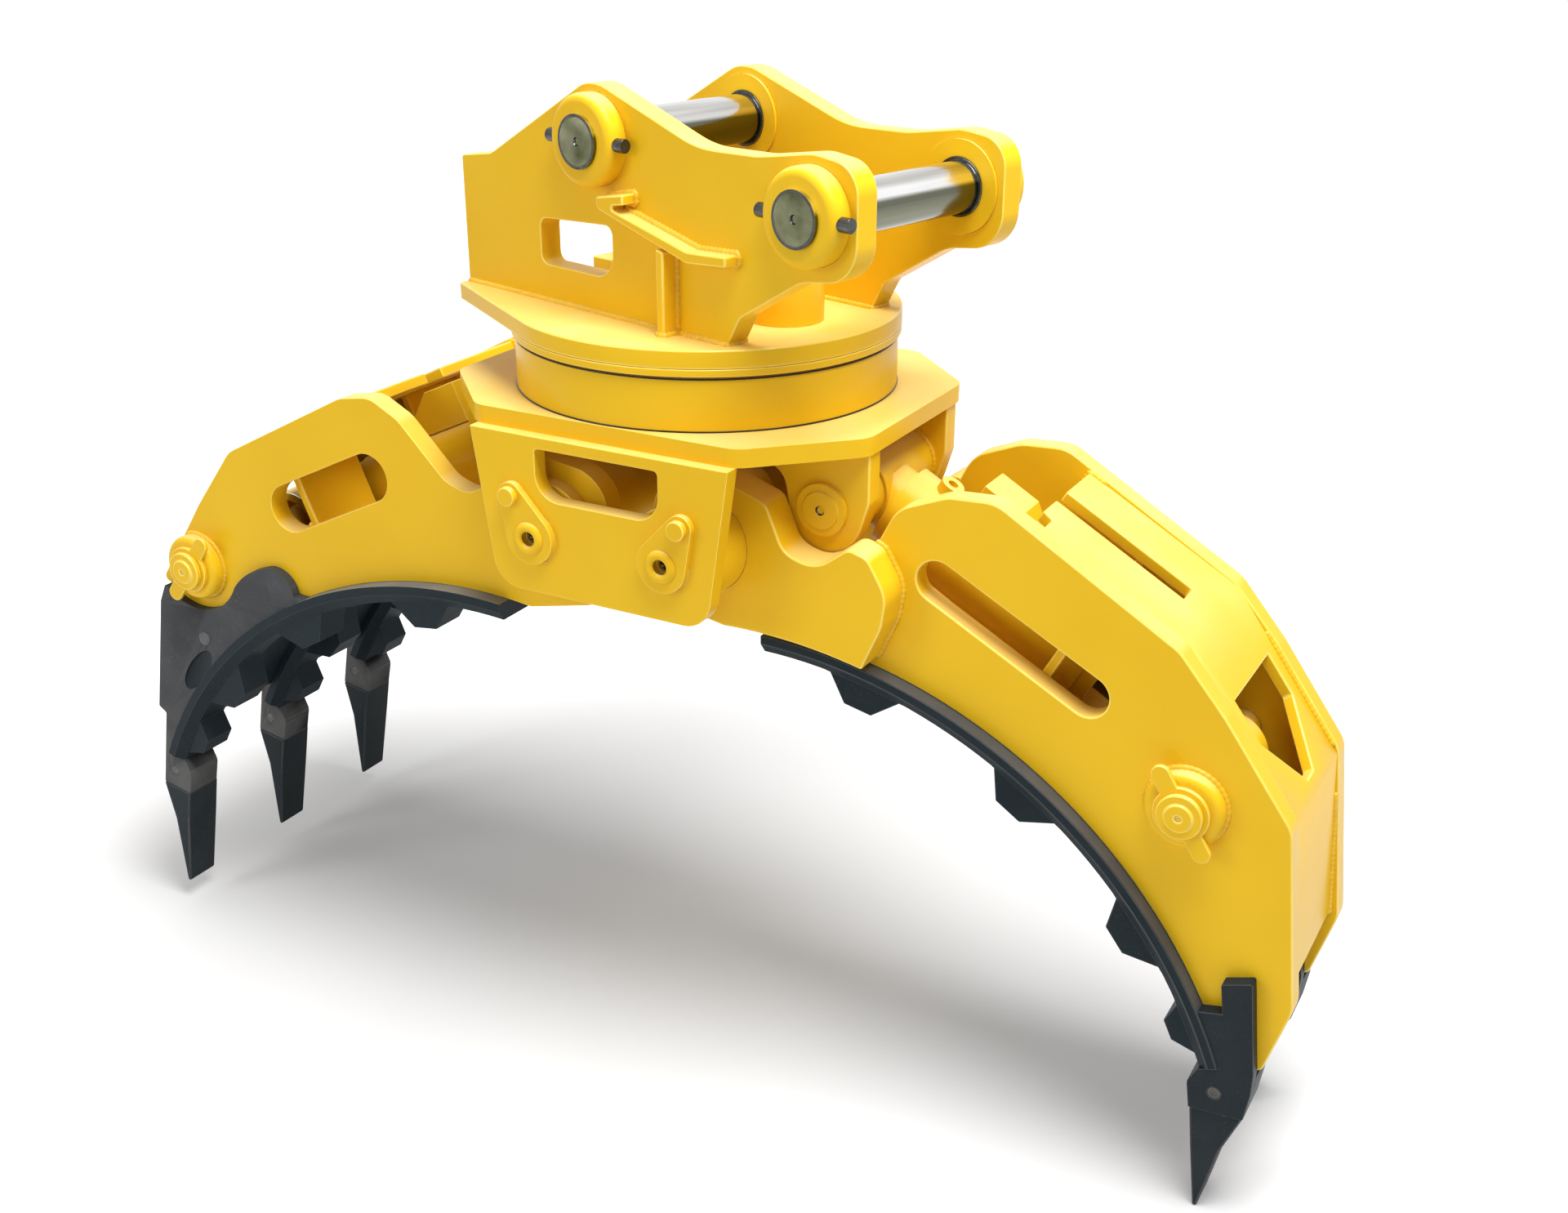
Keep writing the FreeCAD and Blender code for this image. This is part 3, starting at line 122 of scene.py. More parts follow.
floor_mesh = bpy.data.meshes.new("floor")
floor_mesh.from_pydata([(-floor_reach, -floor_reach, 0), (floor_reach, -floor_reach, 0),
                        (floor_reach, floor_reach, 0), (-floor_reach, floor_reach, 0)], [], [(0, 1, 2, 3)])
floor = bpy.data.objects.new("floor", floor_mesh)
bpy.context.scene.collection.objects.link(floor)
floor_paper = bpy.data.materials.new("floor_paper")
floor_paper.use_nodes = True
paper = floor_paper.node_tree
paper_shader = paper.nodes["Principled BSDF"]
paper_shader.inputs["Base Color"].default_value = (0.84, 0.84, 0.84, 1)
paper_shader.inputs["Roughness"].default_value = 1.0
paper_shader.inputs["Specular IOR Level"].default_value = 0.0
paper_shader.inputs["Emission Color"].default_value = (1, 1, 1, 1)
spread = paper.nodes.new("ShaderNodeVectorMath")
spread.operation = "LENGTH"
wire(paper, paper.nodes.new("ShaderNodeNewGeometry").outputs["Position"], spread.inputs[0])
whiten = band(paper, spread.outputs["Value"], shadow_edge, white_edge, least_glow, most_glow, smooth=True)
wire(paper, math_node(paper, "MULTIPLY", whiten, background_rays(paper)),
     paper_shader.inputs["Emission Strength"])
floor_mesh.materials.append(floor_paper)

# The studio light: white walls that give a weak fill, one broad soft lamp overhead and a weak one
# at the front left. Seen directly, or mirrored in the metal, the walls are plain white.
fill_strength, seen_strength = 0.38, 1.0
world = bpy.data.worlds.new("studio")
bpy.context.scene.world = world
world.use_nodes = True
walls = world.node_tree
walls.nodes["Background"].inputs["Color"].default_value = (1, 1, 1, 1)
wire(walls, band(walls, background_rays(walls), 0.0, 1.0, fill_strength, seen_strength),
     walls.nodes["Background"].inputs["Strength"])


def lamp(name, place, target, size, watts):
    light = bpy.data.lights.new(name, "AREA")
    light.shape = "DISK"
    light.size = size
    light.energy = watts
    holder = bpy.data.objects.new(name, light)
    holder.location = place
    holder.rotation_euler = (Vector(target) - Vector(place)).to_track_quat("-Z", "Y").to_euler()
    bpy.context.scene.collection.objects.link(holder)


lamp("overhead", (1.3, -0.5, 4.5), (0.1, 0, 0.9), size=2.6, watts=235)
lamp("front_left", (-2.6, -3.8, 2.4), (0, 0, 0.9), size=2.0, watts=45)

# The coat on the welded steel: plates, bosses and tubes are sprayed thick with one gloss paint. It
# is a little cloudy with a fine orange-peel skin, holds pale dust and a painted sheen where it faces
# up, and is lighter over the ground plate edges, a painted highlight.
dust_and_sheen_colour = (0.93, 0.84, 0.5, 1)
dust_and_sheen_dulls = 0.4
sharpest_gloss, softest_gloss = 0.30, 0.36
clear_roughness = 0.08


def new_group(name, wanted, given):
    # A node group with its named sockets, and the two nodes that stand for them inside it
    group = bpy.data.node_groups.new(name, "ShaderNodeTree")
    for label, kind, value in wanted:
        socket = group.interface.new_socket(name=label, in_out="INPUT", socket_type=kind)
        socket.default_value = value
    for label, kind in given:
        group.interface.new_socket(name=label, in_out="OUTPUT", socket_type=kind)
    return group, group.nodes.new("NodeGroupInput"), group.nodes.new("NodeGroupOutput")


def vector_node(tree, kind, first, second):
    node = tree.nodes.new("ShaderNodeVectorMath")
    node.operation = kind
    wire(tree, first, node.inputs[0])
    wire(tree, second, node.inputs["Scale" if kind == "SCALE" else 1])
    return node.outputs["Value" if kind == "DOT_PRODUCT" else "Vector"]


def noise(tree, scale, detail, along=None):
    node = tree.nodes.new("ShaderNodeTexNoise")
    node.inputs["Detail"].default_value = detail
    if isinstance(scale, float):
        node.inputs["Scale"].default_value = scale
    else:
        wire(tree, scale, node.inputs["Scale"])
    place = tree.nodes.new("ShaderNodeTexCoord").outputs["Object"]
    if along:
        # Drawn out along one direction, as tool marks and streaks are
        drawn_out = 0.97
        reached = math_node(tree, "MULTIPLY", vector_node(tree, "DOT_PRODUCT", place, along), drawn_out)
        place = vector_node(tree, "SUBTRACT", place, vector_node(tree, "SCALE", along, reached))
    wire(tree, place, node.inputs["Vector"])
    return node.outputs["Fac"]


def upward(tree):
    # How far the surface faces up, from -1 to 1
    parts = tree.nodes.new("ShaderNodeSeparateXYZ")
    wire(tree, tree.nodes.new("ShaderNodeNewGeometry").outputs["Normal"], parts.inputs[0])
    return parts.outputs["Z"]


def blend_colour(tree, mask, first, second):
    node = tree.nodes.new("ShaderNodeMix")
    node.data_type = "RGBA"
    wire(tree, mask, node.inputs["Factor"])
    for value, socket in ((first, node.inputs["A"]), (second, node.inputs["B"])):
        if isinstance(value, tuple):
            socket.default_value = value
        else:
            wire(tree, value, socket)
    return node.outputs["Result"]


colour_inputs = [("Colour", "NodeSocketColor", (0.8, 0.5, 0.03, 1)),
                 ("Shade", "NodeSocketColor", (0.7, 0.4, 0.02, 1))]
surface_outputs = [("Colour", "NodeSocketColor"), ("Roughness", "NodeSocketFloat"),
                   ("Height", "NodeSocketFloat")]
coat, entry, leave = new_group("sprayed_coat", colour_inputs + [
    ("Cloud scale", "NodeSocketFloat", 3.0), ("Dust and sheen", "NodeSocketFloat", 0.2)], surface_outputs)
clouds = noise(coat, entry.outputs["Cloud scale"], 3.0)
tone = blend_colour(coat, band(coat, clouds, 0.35, 0.7), entry.outputs["Colour"], entry.outputs["Shade"])
patches = band(coat, noise(coat, 9.0, 6.0), 0.3, 0.75, 0.55, 1.0)
# Pale dust on the faces that look up, with a painted sheen of the overhead light mixed in
dust_and_sheen_mask = math_node(coat, "MULTIPLY", band(coat, upward(coat), 0.55, 0.95, smooth=True), patches)
dust_and_sheen = math_node(coat, "MULTIPLY", dust_and_sheen_mask, entry.outputs["Dust and sheen"])
wire(coat, blend_colour(coat, dust_and_sheen, tone, dust_and_sheen_colour), leave.inputs["Colour"])
gloss = band(coat, noise(coat, 45.0, 5.0), 0.3, 0.7, sharpest_gloss, softest_gloss)
wire(coat, math_node(coat, "ADD", gloss, math_node(coat, "MULTIPLY", dust_and_sheen, dust_and_sheen_dulls)),
     leave.inputs["Roughness"])
wire(coat, noise(coat, 260.0, 2.0), leave.inputs["Height"])


def surfaced(name, group, inputs, relief, depth, metallic=0.0, coat_weight=0.0, specular=0.5):
    # A Principled material whose colour, gloss and relief come from one of the surface groups
    material = bpy.data.materials.new(name)
    material.use_nodes = True
    tree = material.node_tree
    shader = tree.nodes["Principled BSDF"]
    surface = tree.nodes.new("ShaderNodeGroup")
    surface.node_tree = group
    for label, value in inputs.items():
        surface.inputs[label].default_value = value
    wire(tree, surface.outputs["Colour"], shader.inputs["Base Color"])
    wire(tree, surface.outputs["Roughness"], shader.inputs["Roughness"])
    shader.inputs["Metallic"].default_value = metallic
    shader.inputs["Specular IOR Level"].default_value = specular
    shader.inputs["Coat Weight"].default_value = coat_weight
    shader.inputs["Coat Roughness"].default_value = clear_roughness
    bump = tree.nodes.new("ShaderNodeBump")
    bump.inputs["Strength"].default_value = relief
    bump.inputs["Distance"].default_value = depth
    wire(tree, surface.outputs["Height"], bump.inputs["Height"])
    wire(tree, bump.outputs["Normal"], shader.inputs["Normal"])
    return material


yellow = surfaced("yellow_gloss_paint", coat, {
    "Colour": (0.86, 0.535, 0.016, 1), "Shade": (0.81, 0.485, 0.012, 1), "Cloud scale": 3.0, "Dust and sheen": 0.4},
    relief=0.012, depth=0.0004, coat_weight=0.03, specular=0.12)
# A lighter, glossier yellow for the rounded edges of every painted piece: a painted highlight
yellow_edge_highlight = surfaced("yellow_paint_edge_highlight", coat, {
    "Colour": (0.95, 0.70, 0.10, 1), "Shade": (0.90, 0.62, 0.06, 1), "Cloud scale": 14.0, "Dust and sheen": 0.1},
    relief=0.03, depth=0.0006, coat_weight=0.4, specular=0.4)

# The lower frame: an eight-sided top plate with two windowed end plates and two lug plates welded
# under it, and turned bosses in the lug plates. All are cut from thick plate with ground edges.
slot_of = {part["node"]: part["material_slot"] for part in frame["record"]["subparts"]}
body_of = {node: body for body, nodes in frame["record"]["behaviour"]["bodies"].items() for node in nodes}
plate_edge = 0.003
boss_edge = 0.002


def cleaned(node):
    # The node's mesh with its flat faces whole again
    same_point = 1e-5
    same_plane = math.radians(0.4)
    edit = bmesh.new()
    edit.from_mesh(frame["nodes"][node].data)
    bmesh.ops.remove_doubles(edit, verts=edit.verts, dist=same_point)
    bmesh.ops.dissolve_limit(edit, angle_limit=same_plane, verts=edit.verts, edges=edit.edges)
    return edit


def placed(name, mesh, body, slot):
    piece = bpy.data.objects.new(name, mesh)
    bpy.context.scene.collection.objects.link(piece)
    for poly in mesh.polygons:
        poly.use_smooth = True
    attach(piece, body)
    return piece


def softened(node, width, finishes, shape=None, segments=2):
    # A copy of a CAD piece with its edges rounded, standing for that piece. The first finish is on
    # its faces, the second on its rounded edges, and shape() gives out any others.
    edit = cleaned(node)
    if shape:
        shape(edit)
    mesh = bpy.data.meshes.new("rounded_" + node)
    edit.to_mesh(mesh)
    edit.free()
    for finish in finishes:
        mesh.materials.append(finish)
    piece = placed("rounded_" + node, mesh, body_of[node], slot_of[node])
    sharp_from = math.radians(35)
    bevel = piece.modifiers.new("edges", "BEVEL")
    bevel.width = width
    bevel.segments = segments
    bevel.limit_method = "ANGLE"
    bevel.angle_limit = sharp_from
    bevel.material = min(1, len(finishes) - 1)
    piece.modifiers.new("normals", "WEIGHTED_NORMAL").keep_sharp = True
    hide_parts(node)
    return piece


for node in ("frame_top_plate", "frame_end_plate_near", "frame_end_plate_far", "frame_lug_plate_near",
             "frame_lug_plate_far"):
    softened(node, plate_edge, [yellow, yellow_edge_highlight])
softened("frame_cylinder_bosses", boss_edge, [yellow, yellow_edge_highlight])

# Weld beads: wherever one plate stands on another the corner is filled with a rippled bead, laid
# by hand and painted over with the plates. Each bead follows the edge of the plate that was set on.
bead_radius = 0.0055
bead_ripple = 0.009
yellow_bead = surfaced("yellow_paint_on_beads", coat, {
    "Colour": (0.84, 0.52, 0.018, 1), "Shade": (0.78, 0.45, 0.012, 1), "Cloud scale": 60.0, "Dust and sheen": 0.2},
    relief=0.15, depth=0.001, coat_weight=0.15, specular=0.25)


def corner_runs(standing, base):
    # Stretches of the standing plate's edges that lie on the base with room beside them
    step = 0.012
    touching = 0.0007
    room = 0.007
    room_slack = 0.0006
    blunt_corner = 0.8
    face_to_face = -0.9
    plate = cleaned(standing)
    ground = cleaned(base)
    bmesh.ops.triangulate(ground, faces=ground.faces)
    surface = BVHTree.FromBMesh(ground)
    runs = []
    for edge in plate.edges:
        if len(edge.link_faces) != 2:
            continue
        start, end = edge.verts[0].co, edge.verts[1].co
        count = max(1, math.ceil((end - start).length / step))
        for contact, free in (edge.link_faces, reversed(edge.link_faces)):
            if contact.normal.dot(free.normal) > blunt_corner:
                continue
            beside = (free.normal - contact.normal * free.normal.dot(contact.normal)).normalized()
            for k in range(count):
                ends = [start.lerp(end, k / count), start.lerp(end, (k + 1) / count)]
                middle = (ends[0] + ends[1]) / 2
                place, normal, _, gap = surface.find_nearest(middle)
                if place is None or gap > touching or normal.dot(contact.normal) > face_to_face:
                    continue
                if surface.find_nearest(middle + beside * room)[3] > touching + room_slack:
                    continue
                runs.append((ends[0].copy(), ends[1].copy()))
    plate.free()
    ground.free()
    return runs


def chained(runs):
    # The stretches joined end to end into long lines
    same_place_per_metre = 5000

    def key(point):
        return tuple(round(value * same_place_per_metre) for value in point)

    at = {}
    for number, run in enumerate(runs):
        for end in run:
            at.setdefault(key(end), []).append(number)
    used = set()
    lines = []
    for number, run in enumerate(runs):
        if number in used:
            continue
        used.add(number)
        line = list(run)
        for grow_back in (False, True):
            while True:
                tip = line[0] if grow_back else line[-1]
                found = next((n for n in at.get(key(tip), []) if n not in used), None)
                if found is None:
                    break
                used.add(found)
                first, last = runs[found]
                other = last if key(first) == key(tip) else first
                if grow_back:
                    line.insert(0, other)
                else:
                    line.append(other)
        lines.append(line)
    return lines


def bead_mesh(edit, line, radius):
    # One rippled tube along a line, sunk to its middle in the corner
    closing_gap = 0.0004
    shortest_bead = 0.02
    ripple_height = 0.13
    start_height = 0.35
    sides = 8
    closed = (line[0] - line[-1]).length < closing_gap
    lengths = [0.0]
    for a, b in zip(line, line[1:]):
        lengths.append(lengths[-1] + (b - a).length)
    total = lengths[-1]
    if total < shortest_bead:
        return
    rings = max(4, round(total / (bead_ripple / 3)))
    loops = []
    leg = 0
    side = None
    for k in range(rings + (0 if closed else 1)):
        s = total * k / rings
        while leg < len(line) - 2 and lengths[leg + 1] < s:
            leg += 1
        a, b = line[leg], line[leg + 1]
        span = max(lengths[leg + 1] - lengths[leg], 1e-9)
        point = a.lerp(b, (s - lengths[leg]) / span)
        ahead = (b - a).normalized()
        if side is None:
            side = ahead.orthogonal().normalized()
        side = (side - ahead * side.dot(ahead)).normalized()
        over = ahead.cross(side)
        swell = radius * (1 + ripple_height * math.sin(math.tau * s / bead_ripple))
        if not closed:
            swell *= min(1.0, start_height + min(s, total - s) / radius)
        loops.append([edit.verts.new(point + (side * math.cos(math.tau * n / sides) +
                      over * math.sin(math.tau * n / sides)) * swell) for n in range(sides)])
    pairs = list(zip(loops, loops[1:]))
    if closed:
        shift = min(range(sides), key=lambda n: (loops[-1][0].co - loops[0][n].co).length)
        pairs.append((loops[-1], loops[0][shift:] + loops[0][:shift]))
    for lower, upper in pairs:
        for n in range(sides):
            m = (n + 1) % sides
            edit.faces.new((lower[n], lower[m], upper[m], upper[n]))
    if not closed:
        edit.faces.new(reversed(loops[0]))
        edit.faces.new(loops[-1])


def welded(name, body, joints, radius):
    edit = bmesh.new()
    for standing, base in joints:
        for line in chained(corner_runs(standing, base)):
            bead_mesh(edit, line, radius)
    bmesh.ops.recalc_face_normals(edit, faces=edit.faces)
    mesh = bpy.data.meshes.new(name)
    edit.to_mesh(mesh)
    edit.free()
    mesh.materials.append(yellow_bead)
    placed(name, mesh, body, "yellow_paint")


welded("frame_weld_beads", "lower_frame", [
    ("frame_end_plate_near", "frame_top_plate"), ("frame_end_plate_far", "frame_top_plate"),
    ("frame_lug_plate_near", "frame_top_plate"), ("frame_lug_plate_far", "frame_top_plate"),
    ("frame_cylinder_bosses", "frame_lug_plate_near"), ("frame_cylinder_bosses", "frame_lug_plate_far")],
    bead_radius)

# The slewing ring and its drive: two turned races, the upper on the head and the lower on the
# frame, sprayed with the plates. Only the gear teeth, the screws and the oil joint stay bare.
# The dark colour of the painted reflection of the ground on the underside of the chrome
ground_reflection_colour = (0.085, 0.09, 0.045, 1)
turned_edge = 0.0015
for node in ("slew_outer_race", "slew_inner_race", "slew_motor"):
    softened(node, turned_edge, [yellow, yellow_edge_highlight])
turned, entry, leave = new_group("turned_steel", colour_inputs + [
    ("Streaks", "NodeSocketFloat", 60.0), ("Along", "NodeSocketVector", (0, 1, 0)),
    ("Ground reflection", "NodeSocketFloat", 0.0)], surface_outputs)
streaks = noise(turned, entry.outputs["Streaks"], 4.0, along=entry.outputs["Along"])
bare = blend_colour(turned, band(turned, streaks, 0.3, 0.7), entry.outputs["Colour"], entry.outputs["Shade"])
# Faces that look down are darkened towards that colour: a painted reflection of the ground
underside = band(turned, upward(turned), 0.44, 0.24, smooth=True)
painted_reflection = math_node(turned, "MULTIPLY", underside, entry.outputs["Ground reflection"])
wire(turned, blend_colour(turned, painted_reflection, bare, ground_reflection_colour), leave.inputs["Colour"])
wire(turned, band(turned, noise(turned, 12.0, 3.0), 0.3, 0.75, 0.10, 0.22), leave.inputs["Roughness"])
wire(turned, streaks, leave.inputs["Height"])
zinc = surfaced("zinc_plated_steel", turned, {
    "Colour": (0.56, 0.56, 0.53, 1), "Shade": (0.42, 0.42, 0.40, 1), "Streaks": 120.0},
    relief=0.1, depth=0.0005, metallic=1.0)
for node in ("slew_pinion", "slew_ring_screws", "rotary_oil_joint"):
    softened(node, 0.001, [zinc])

# The dark lines of the slewing ring: two thin black rings, one under the foot of the lower race and
# one in the gap below the upper race. The one in the gap is painted shade under the overhang.
black_line_and_gap_shade = surfaced("black_line_and_painted_gap_shade", turned, {
    "Colour": (0.035, 0.03, 0.022, 1), "Shade": (0.02, 0.018, 0.014, 1), "Streaks": 50.0},
    relief=0.1, depth=0.0004, specular=0.2)


def lathed(name, profile, place, axis, body, finish, slot, rings=48):
    # A turned piece: (distance along the axis, radius) points swept round the axis
    edit = bmesh.new()
    side = axis.orthogonal().normalized()
    over = axis.cross(side)
    loops = []
    for along, radius in profile:
        loops.append([edit.verts.new(place + axis * along + (side * math.cos(math.tau * k / rings) +
                      over * math.sin(math.tau * k / rings)) * radius) for k in range(rings)])
    for lower, upper in zip(loops, loops[1:] + loops[:1]):
        for k in range(rings):
            m = (k + 1) % rings
            edit.faces.new((lower[k], lower[m], upper[m], upper[k]))
    bmesh.ops.recalc_face_normals(edit, faces=edit.faces)
    mesh = bpy.data.meshes.new(name)
    edit.to_mesh(mesh)
    edit.free()
    mesh.materials.append(finish)
    piece = placed(name, mesh, body, slot)
    piece.modifiers.new("normals", "WEIGHTED_NORMAL").keep_sharp = True


race_low, race_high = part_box("slew_outer_race")
race_centre = Vector(((race_low.x + race_high.x) / 2, (race_low.y + race_high.y) / 2, 0))
race_radius = (race_high.x - race_low.x) / 2
black_line_root = race_radius - 0.001
for name, foot, rise, out in (("ring_foot_black_line", race_low.z - 0.0003, 0.0028, 0.0012),
                              ("ring_gap_shade_line", race_high.z - 0.0027, 0.0025, 0.0022)):
    lathed(name, [(foot, black_line_root), (foot, race_radius + out), (foot + rise, race_radius + out),
                  (foot + rise, black_line_root)], race_centre, Vector((0, 0, 1)), "lower_frame", black_line_and_gap_shade,
           "bolt_steel", rings=160)

# The pins in the frame: turned steel bars. The cylinder pins are painted, with a stepped end cap
# and a small centre plug, and the jaws' pivot pins are held by shaped keepers with one bolt each.
across = Vector((0, 1, 0))
dark_steel = surfaced("dark_bolt_steel", turned, {
    "Colour": (0.10, 0.10, 0.09, 1), "Shade": (0.05, 0.05, 0.05, 1), "Streaks": 90.0},
    relief=0.2, depth=0.0005, metallic=0.8)


def turned_ends(axis, finish, steps):
    # Cuts steps into each end face, which has the given finish: (inset, depth, finish) in turn
    square_on = 0.99
    tip_slack = 0.0005

    def shape(edit):
        for sign in (-1, 1):
            tip = max(sign * vert.co.dot(axis) for vert in edit.verts)
            ends = [face for face in edit.faces if sign * face.normal.dot(axis) > square_on
                    and sign * face.calc_center_median().dot(axis) > tip - tip_slack]
            for face in ends:
                face.material_index = finish
                for inset, depth, ring_finish in steps:
                    made = bmesh.ops.inset_individual(edit, faces=[face], thickness=inset, depth=depth)
                    for ring in made["faces"]:
                        ring.material_index = ring_finish
    return shape


for node in ("jaw_pivot_pins", "frame_pin_keepers", "frame_keeper_bolts"):
    softened(node, boss_edge, [yellow, yellow_edge_highlight])
softened("cylinder_pins", boss_edge, [yellow, yellow_edge_highlight, dark_steel], shape=turned_ends(across, 0, (
    (0.011, 0.0, 0), (0.002, 0.003, 0), (0.022, 0.0, 0), (0.002, -0.003, 2))))

# The keepers' rims and the grease nipples: a round painted rim is pressed up round each pivot pin's
# end, and a dark steel nipple is screwed into the cup of the pin.
cup_depth = 0.009
keeper_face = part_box("frame_pin_keepers")[1].y
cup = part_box("jaw_pivot_pins")[1].y - cup_depth
rim_profile = [(keeper_face + along, radius) for along, radius in (
    (-0.002, 0.0125), (-0.002, 0.028), (0.002, 0.0275), (0.006, 0.0235), (0.007, 0.0195), (0.006, 0.0155),
    (0.003, 0.0125))]
nipple_profile = [(cup + along, radius) for along, radius in (
    (-0.001, 0.0001), (-0.001, 0.0124), (0.002, 0.0124), (0.003, 0.0045), (0.011, 0.003), (0.012, 0.0042),
    (0.015, 0.0036), (0.016, 0.0001))]
for jaw in ("jaw_right", "jaw_left"):
    pivot = joint_of[jaw + "_swing"]["pos_m"]
    pivot_line = Vector((pivot[0], 0, pivot[2]))
    for sign, end in ((-1, "near"), (1, "far")):
        name = jaw + "_pin_" + end
        lathed(name + "_rim", rim_profile, pivot_line, across * sign, "lower_frame", yellow, "yellow_paint")
        lathed(name + "_nipple", nipple_profile, pivot_line, across * sign, "lower_frame", dark_steel,
               "bolt_steel", rings=24)

# The head: a base plate with two ear plates, gussets and a cross web welded on it, and four
# round bosses that carry the two carrier pins.
head_bead_radius = 0.006
for node in ("head_base_plate", "head_ear_near", "head_ear_far", "head_cross_web", "head_gussets"):
    softened(node, plate_edge, [yellow, yellow_edge_highlight])
softened("head_pin_bosses", boss_edge, [yellow, yellow_edge_highlight])
welded("head_weld_beads", "head", [
    ("head_ear_near", "head_base_plate"), ("head_ear_far", "head_base_plate"),
    ("head_cross_web", "head_base_plate"), ("head_cross_web", "head_ear_near"),
    ("head_cross_web", "head_ear_far"), ("head_gussets", "head_base_plate"),
    ("head_gussets", "head_ear_near"), ("head_gussets", "head_ear_far"),
    ("head_pin_bosses", "head_ear_near"), ("head_pin_bosses", "head_ear_far")], head_bead_radius)

# The carrier pins: ground and chromed bars with a plain turned end face and a centre drilling. The
# chrome is painted dark on its underside, a painted reflection of the ground. The cross bolts that
# stop them turning are dark steel.
# The chrome's darker streaks along its length are painted reflections of its surroundings
chrome = surfaced("hard_chrome", turned, {
    "Colour": (0.95, 0.95, 0.95, 1), "Shade": (0.36, 0.34, 0.29, 1), "Streaks": 34.0,
    "Along": (0.254, 0.967, 0), "Ground reflection": 0.9}, relief=0.0, depth=0.0004, metallic=1.0)
# The end faces are patched light and dark, a painted reflection on the turned steel
end_face = surfaced("oiled_turned_steel", turned, {
    "Colour": (0.30, 0.30, 0.19, 1), "Shade": (0.055, 0.064, 0.02, 1), "Streaks": 15.0},
    relief=0.15, depth=0.0005, metallic=0.8)
mounts = {mount["name"]: mount for mount in frame["record"]["mounts"]}
pin_axis = Vector(mounts["arm_pin"]["axis"])
# The dark outer ring of each end face is a painted shade of the gap round the pin end
for node in ("head_pin_arm", "head_pin_link"):
    softened(node, 0.002, [chrome, dark_steel, end_face, dark_steel], shape=turned_ends(pin_axis, 2, (
        (0.0045, 0.0, 3), (0.001, -0.001, 2), (0.0295, 0.0, 2), (0.0015, -0.003, 3))))
softened("head_cross_bolts", 0.0012, [dark_steel])

# The shim rings: thin rings of dark steel, slipped on each carrier pin to close the gap between
# its free length and the bosses.
for label in ("arm_pin", "link_pin"):
    mount = mounts[label]
    radius = mount["dims"]["r_mm"] / 1000
    free = mount["dims"]["length_mm"] / 2000
    shim_profile = [(free, radius + 0.0004), (free, radius + 0.005), (free + 0.001, radius + 0.006),
                    (free + 0.003, radius + 0.006), (free + 0.003, radius + 0.0004)]
    for sign, end in ((-1, "near"), (1, "far")):
        lathed("%s_shim_%s" % (label, end), shim_profile, Vector(mount["pos_m"]), pin_axis * sign, "head",
               dark_steel, "bolt_steel")

# The cylinders: welded barrel tubes with a screwed gland and a guard over the pipes, painted, and
# a chromed rod with a forged eye, which is painted too.
eye_reach = 0.085


def painted_eye(pin_node, finish):
    # Gives a finish to the faces round the rod pin
    pin_low, pin_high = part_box(pin_node)
    hub = (pin_low + pin_high) / 2

    def shape(edit):
        for face in edit.faces:
            middle = face.calc_center_median()
            if math.hypot(middle.x - hub.x, middle.z - hub.z) < eye_reach:
                face.material_index = finish
    return shape


for side in ("left", "right"):
    for member in ("cylinder_barrel_", "cylinder_gland_", "cylinder_pipe_guard_"):
        softened(member + side, turned_edge, [yellow, yellow_edge_highlight])
    softened("cylinder_rod_" + side, turned_edge, [chrome, chrome, yellow],
             shape=painted_eye("rod_pin_" + side, 2))

# The jaws: two thick side plates each, joined by folded sheets on the back and the inner curve,
# with ribs, hubs and bosses welded in. The narrow jaw has doubled cheeks round its pivot. The inner
# sheet is bare and black on its grip side, with the grainy skin that cast and rolled steel has.
grip_centre = {"right": Vector((0.2097, 0, -0.0260)), "left": Vector((-0.2933, 0, -0.0165))}
paler_from, paler_to = 0.50, 0.36


def grip_side(side, finish, inward=True):
    # Gives a finish to the faces that look at the jaw's grip curve, or to those that look away
    looks_at = 0.6

    def shape(edit):
        for face in edit.faces:
            middle = face.calc_center_median()
            middle.y = 0
            looks = face.normal.dot((grip_centre[side] - middle).normalized())
            if (looks if inward else -looks) > looks_at:
                face.material_index = finish
    return shape


cast, entry, leave = new_group("cast_skin", colour_inputs + [
    ("Grain", "NodeSocketFloat", 300.0), ("Pale", "NodeSocketColor", (0.2, 0.2, 0.2, 1)),
    ("Paler low", "NodeSocketFloat", 0.0)], surface_outputs)
blotches = noise(cast, 7.0, 6.0)
grain = noise(cast, entry.outputs["Grain"], 3.0)
mottled = blend_colour(cast, band(cast, blotches, 0.35, 0.65), entry.outputs["Colour"],
                       entry.outputs["Shade"])
specks = math_node(cast, "MULTIPLY", band(cast, grain, 0.58, 0.75),
                   band(cast, noise(cast, 30.0, 4.0), 0.45, 0.7))
level = cast.nodes.new("ShaderNodeSeparateXYZ")
wire(cast, cast.nodes.new("ShaderNodeTexCoord").outputs["Object"], level.inputs[0])
low_down = band(cast, level.outputs["Z"], paler_from, paler_to, smooth=True)
paler_low = math_node(cast, "MULTIPLY", low_down, entry.outputs["Paler low"])
paler_low = math_node(cast, "MULTIPLY", paler_low, band(cast, noise(cast, 16.0, 5.0), 0.3, 0.65, 0.3, 1.0))
wire(cast, blend_colour(cast, math_node(cast, "MAXIMUM", specks, paler_low), mottled, entry.outputs["Pale"]),
     leave.inputs["Colour"])
wire(cast, band(cast, blotches, 0.3, 0.7, 0.42, 0.6), leave.inputs["Roughness"])
wire(cast, grain, leave.inputs["Height"])
grip_black = surfaced("black_grip_steel", cast, {
    "Colour": (0.006, 0.014, 0.019, 1), "Shade": (0.013, 0.022, 0.027, 1), "Grain": 420.0,
    "Pale": (0.045, 0.05, 0.055, 1)}, relief=0.25, depth=0.0008, specular=0.12)
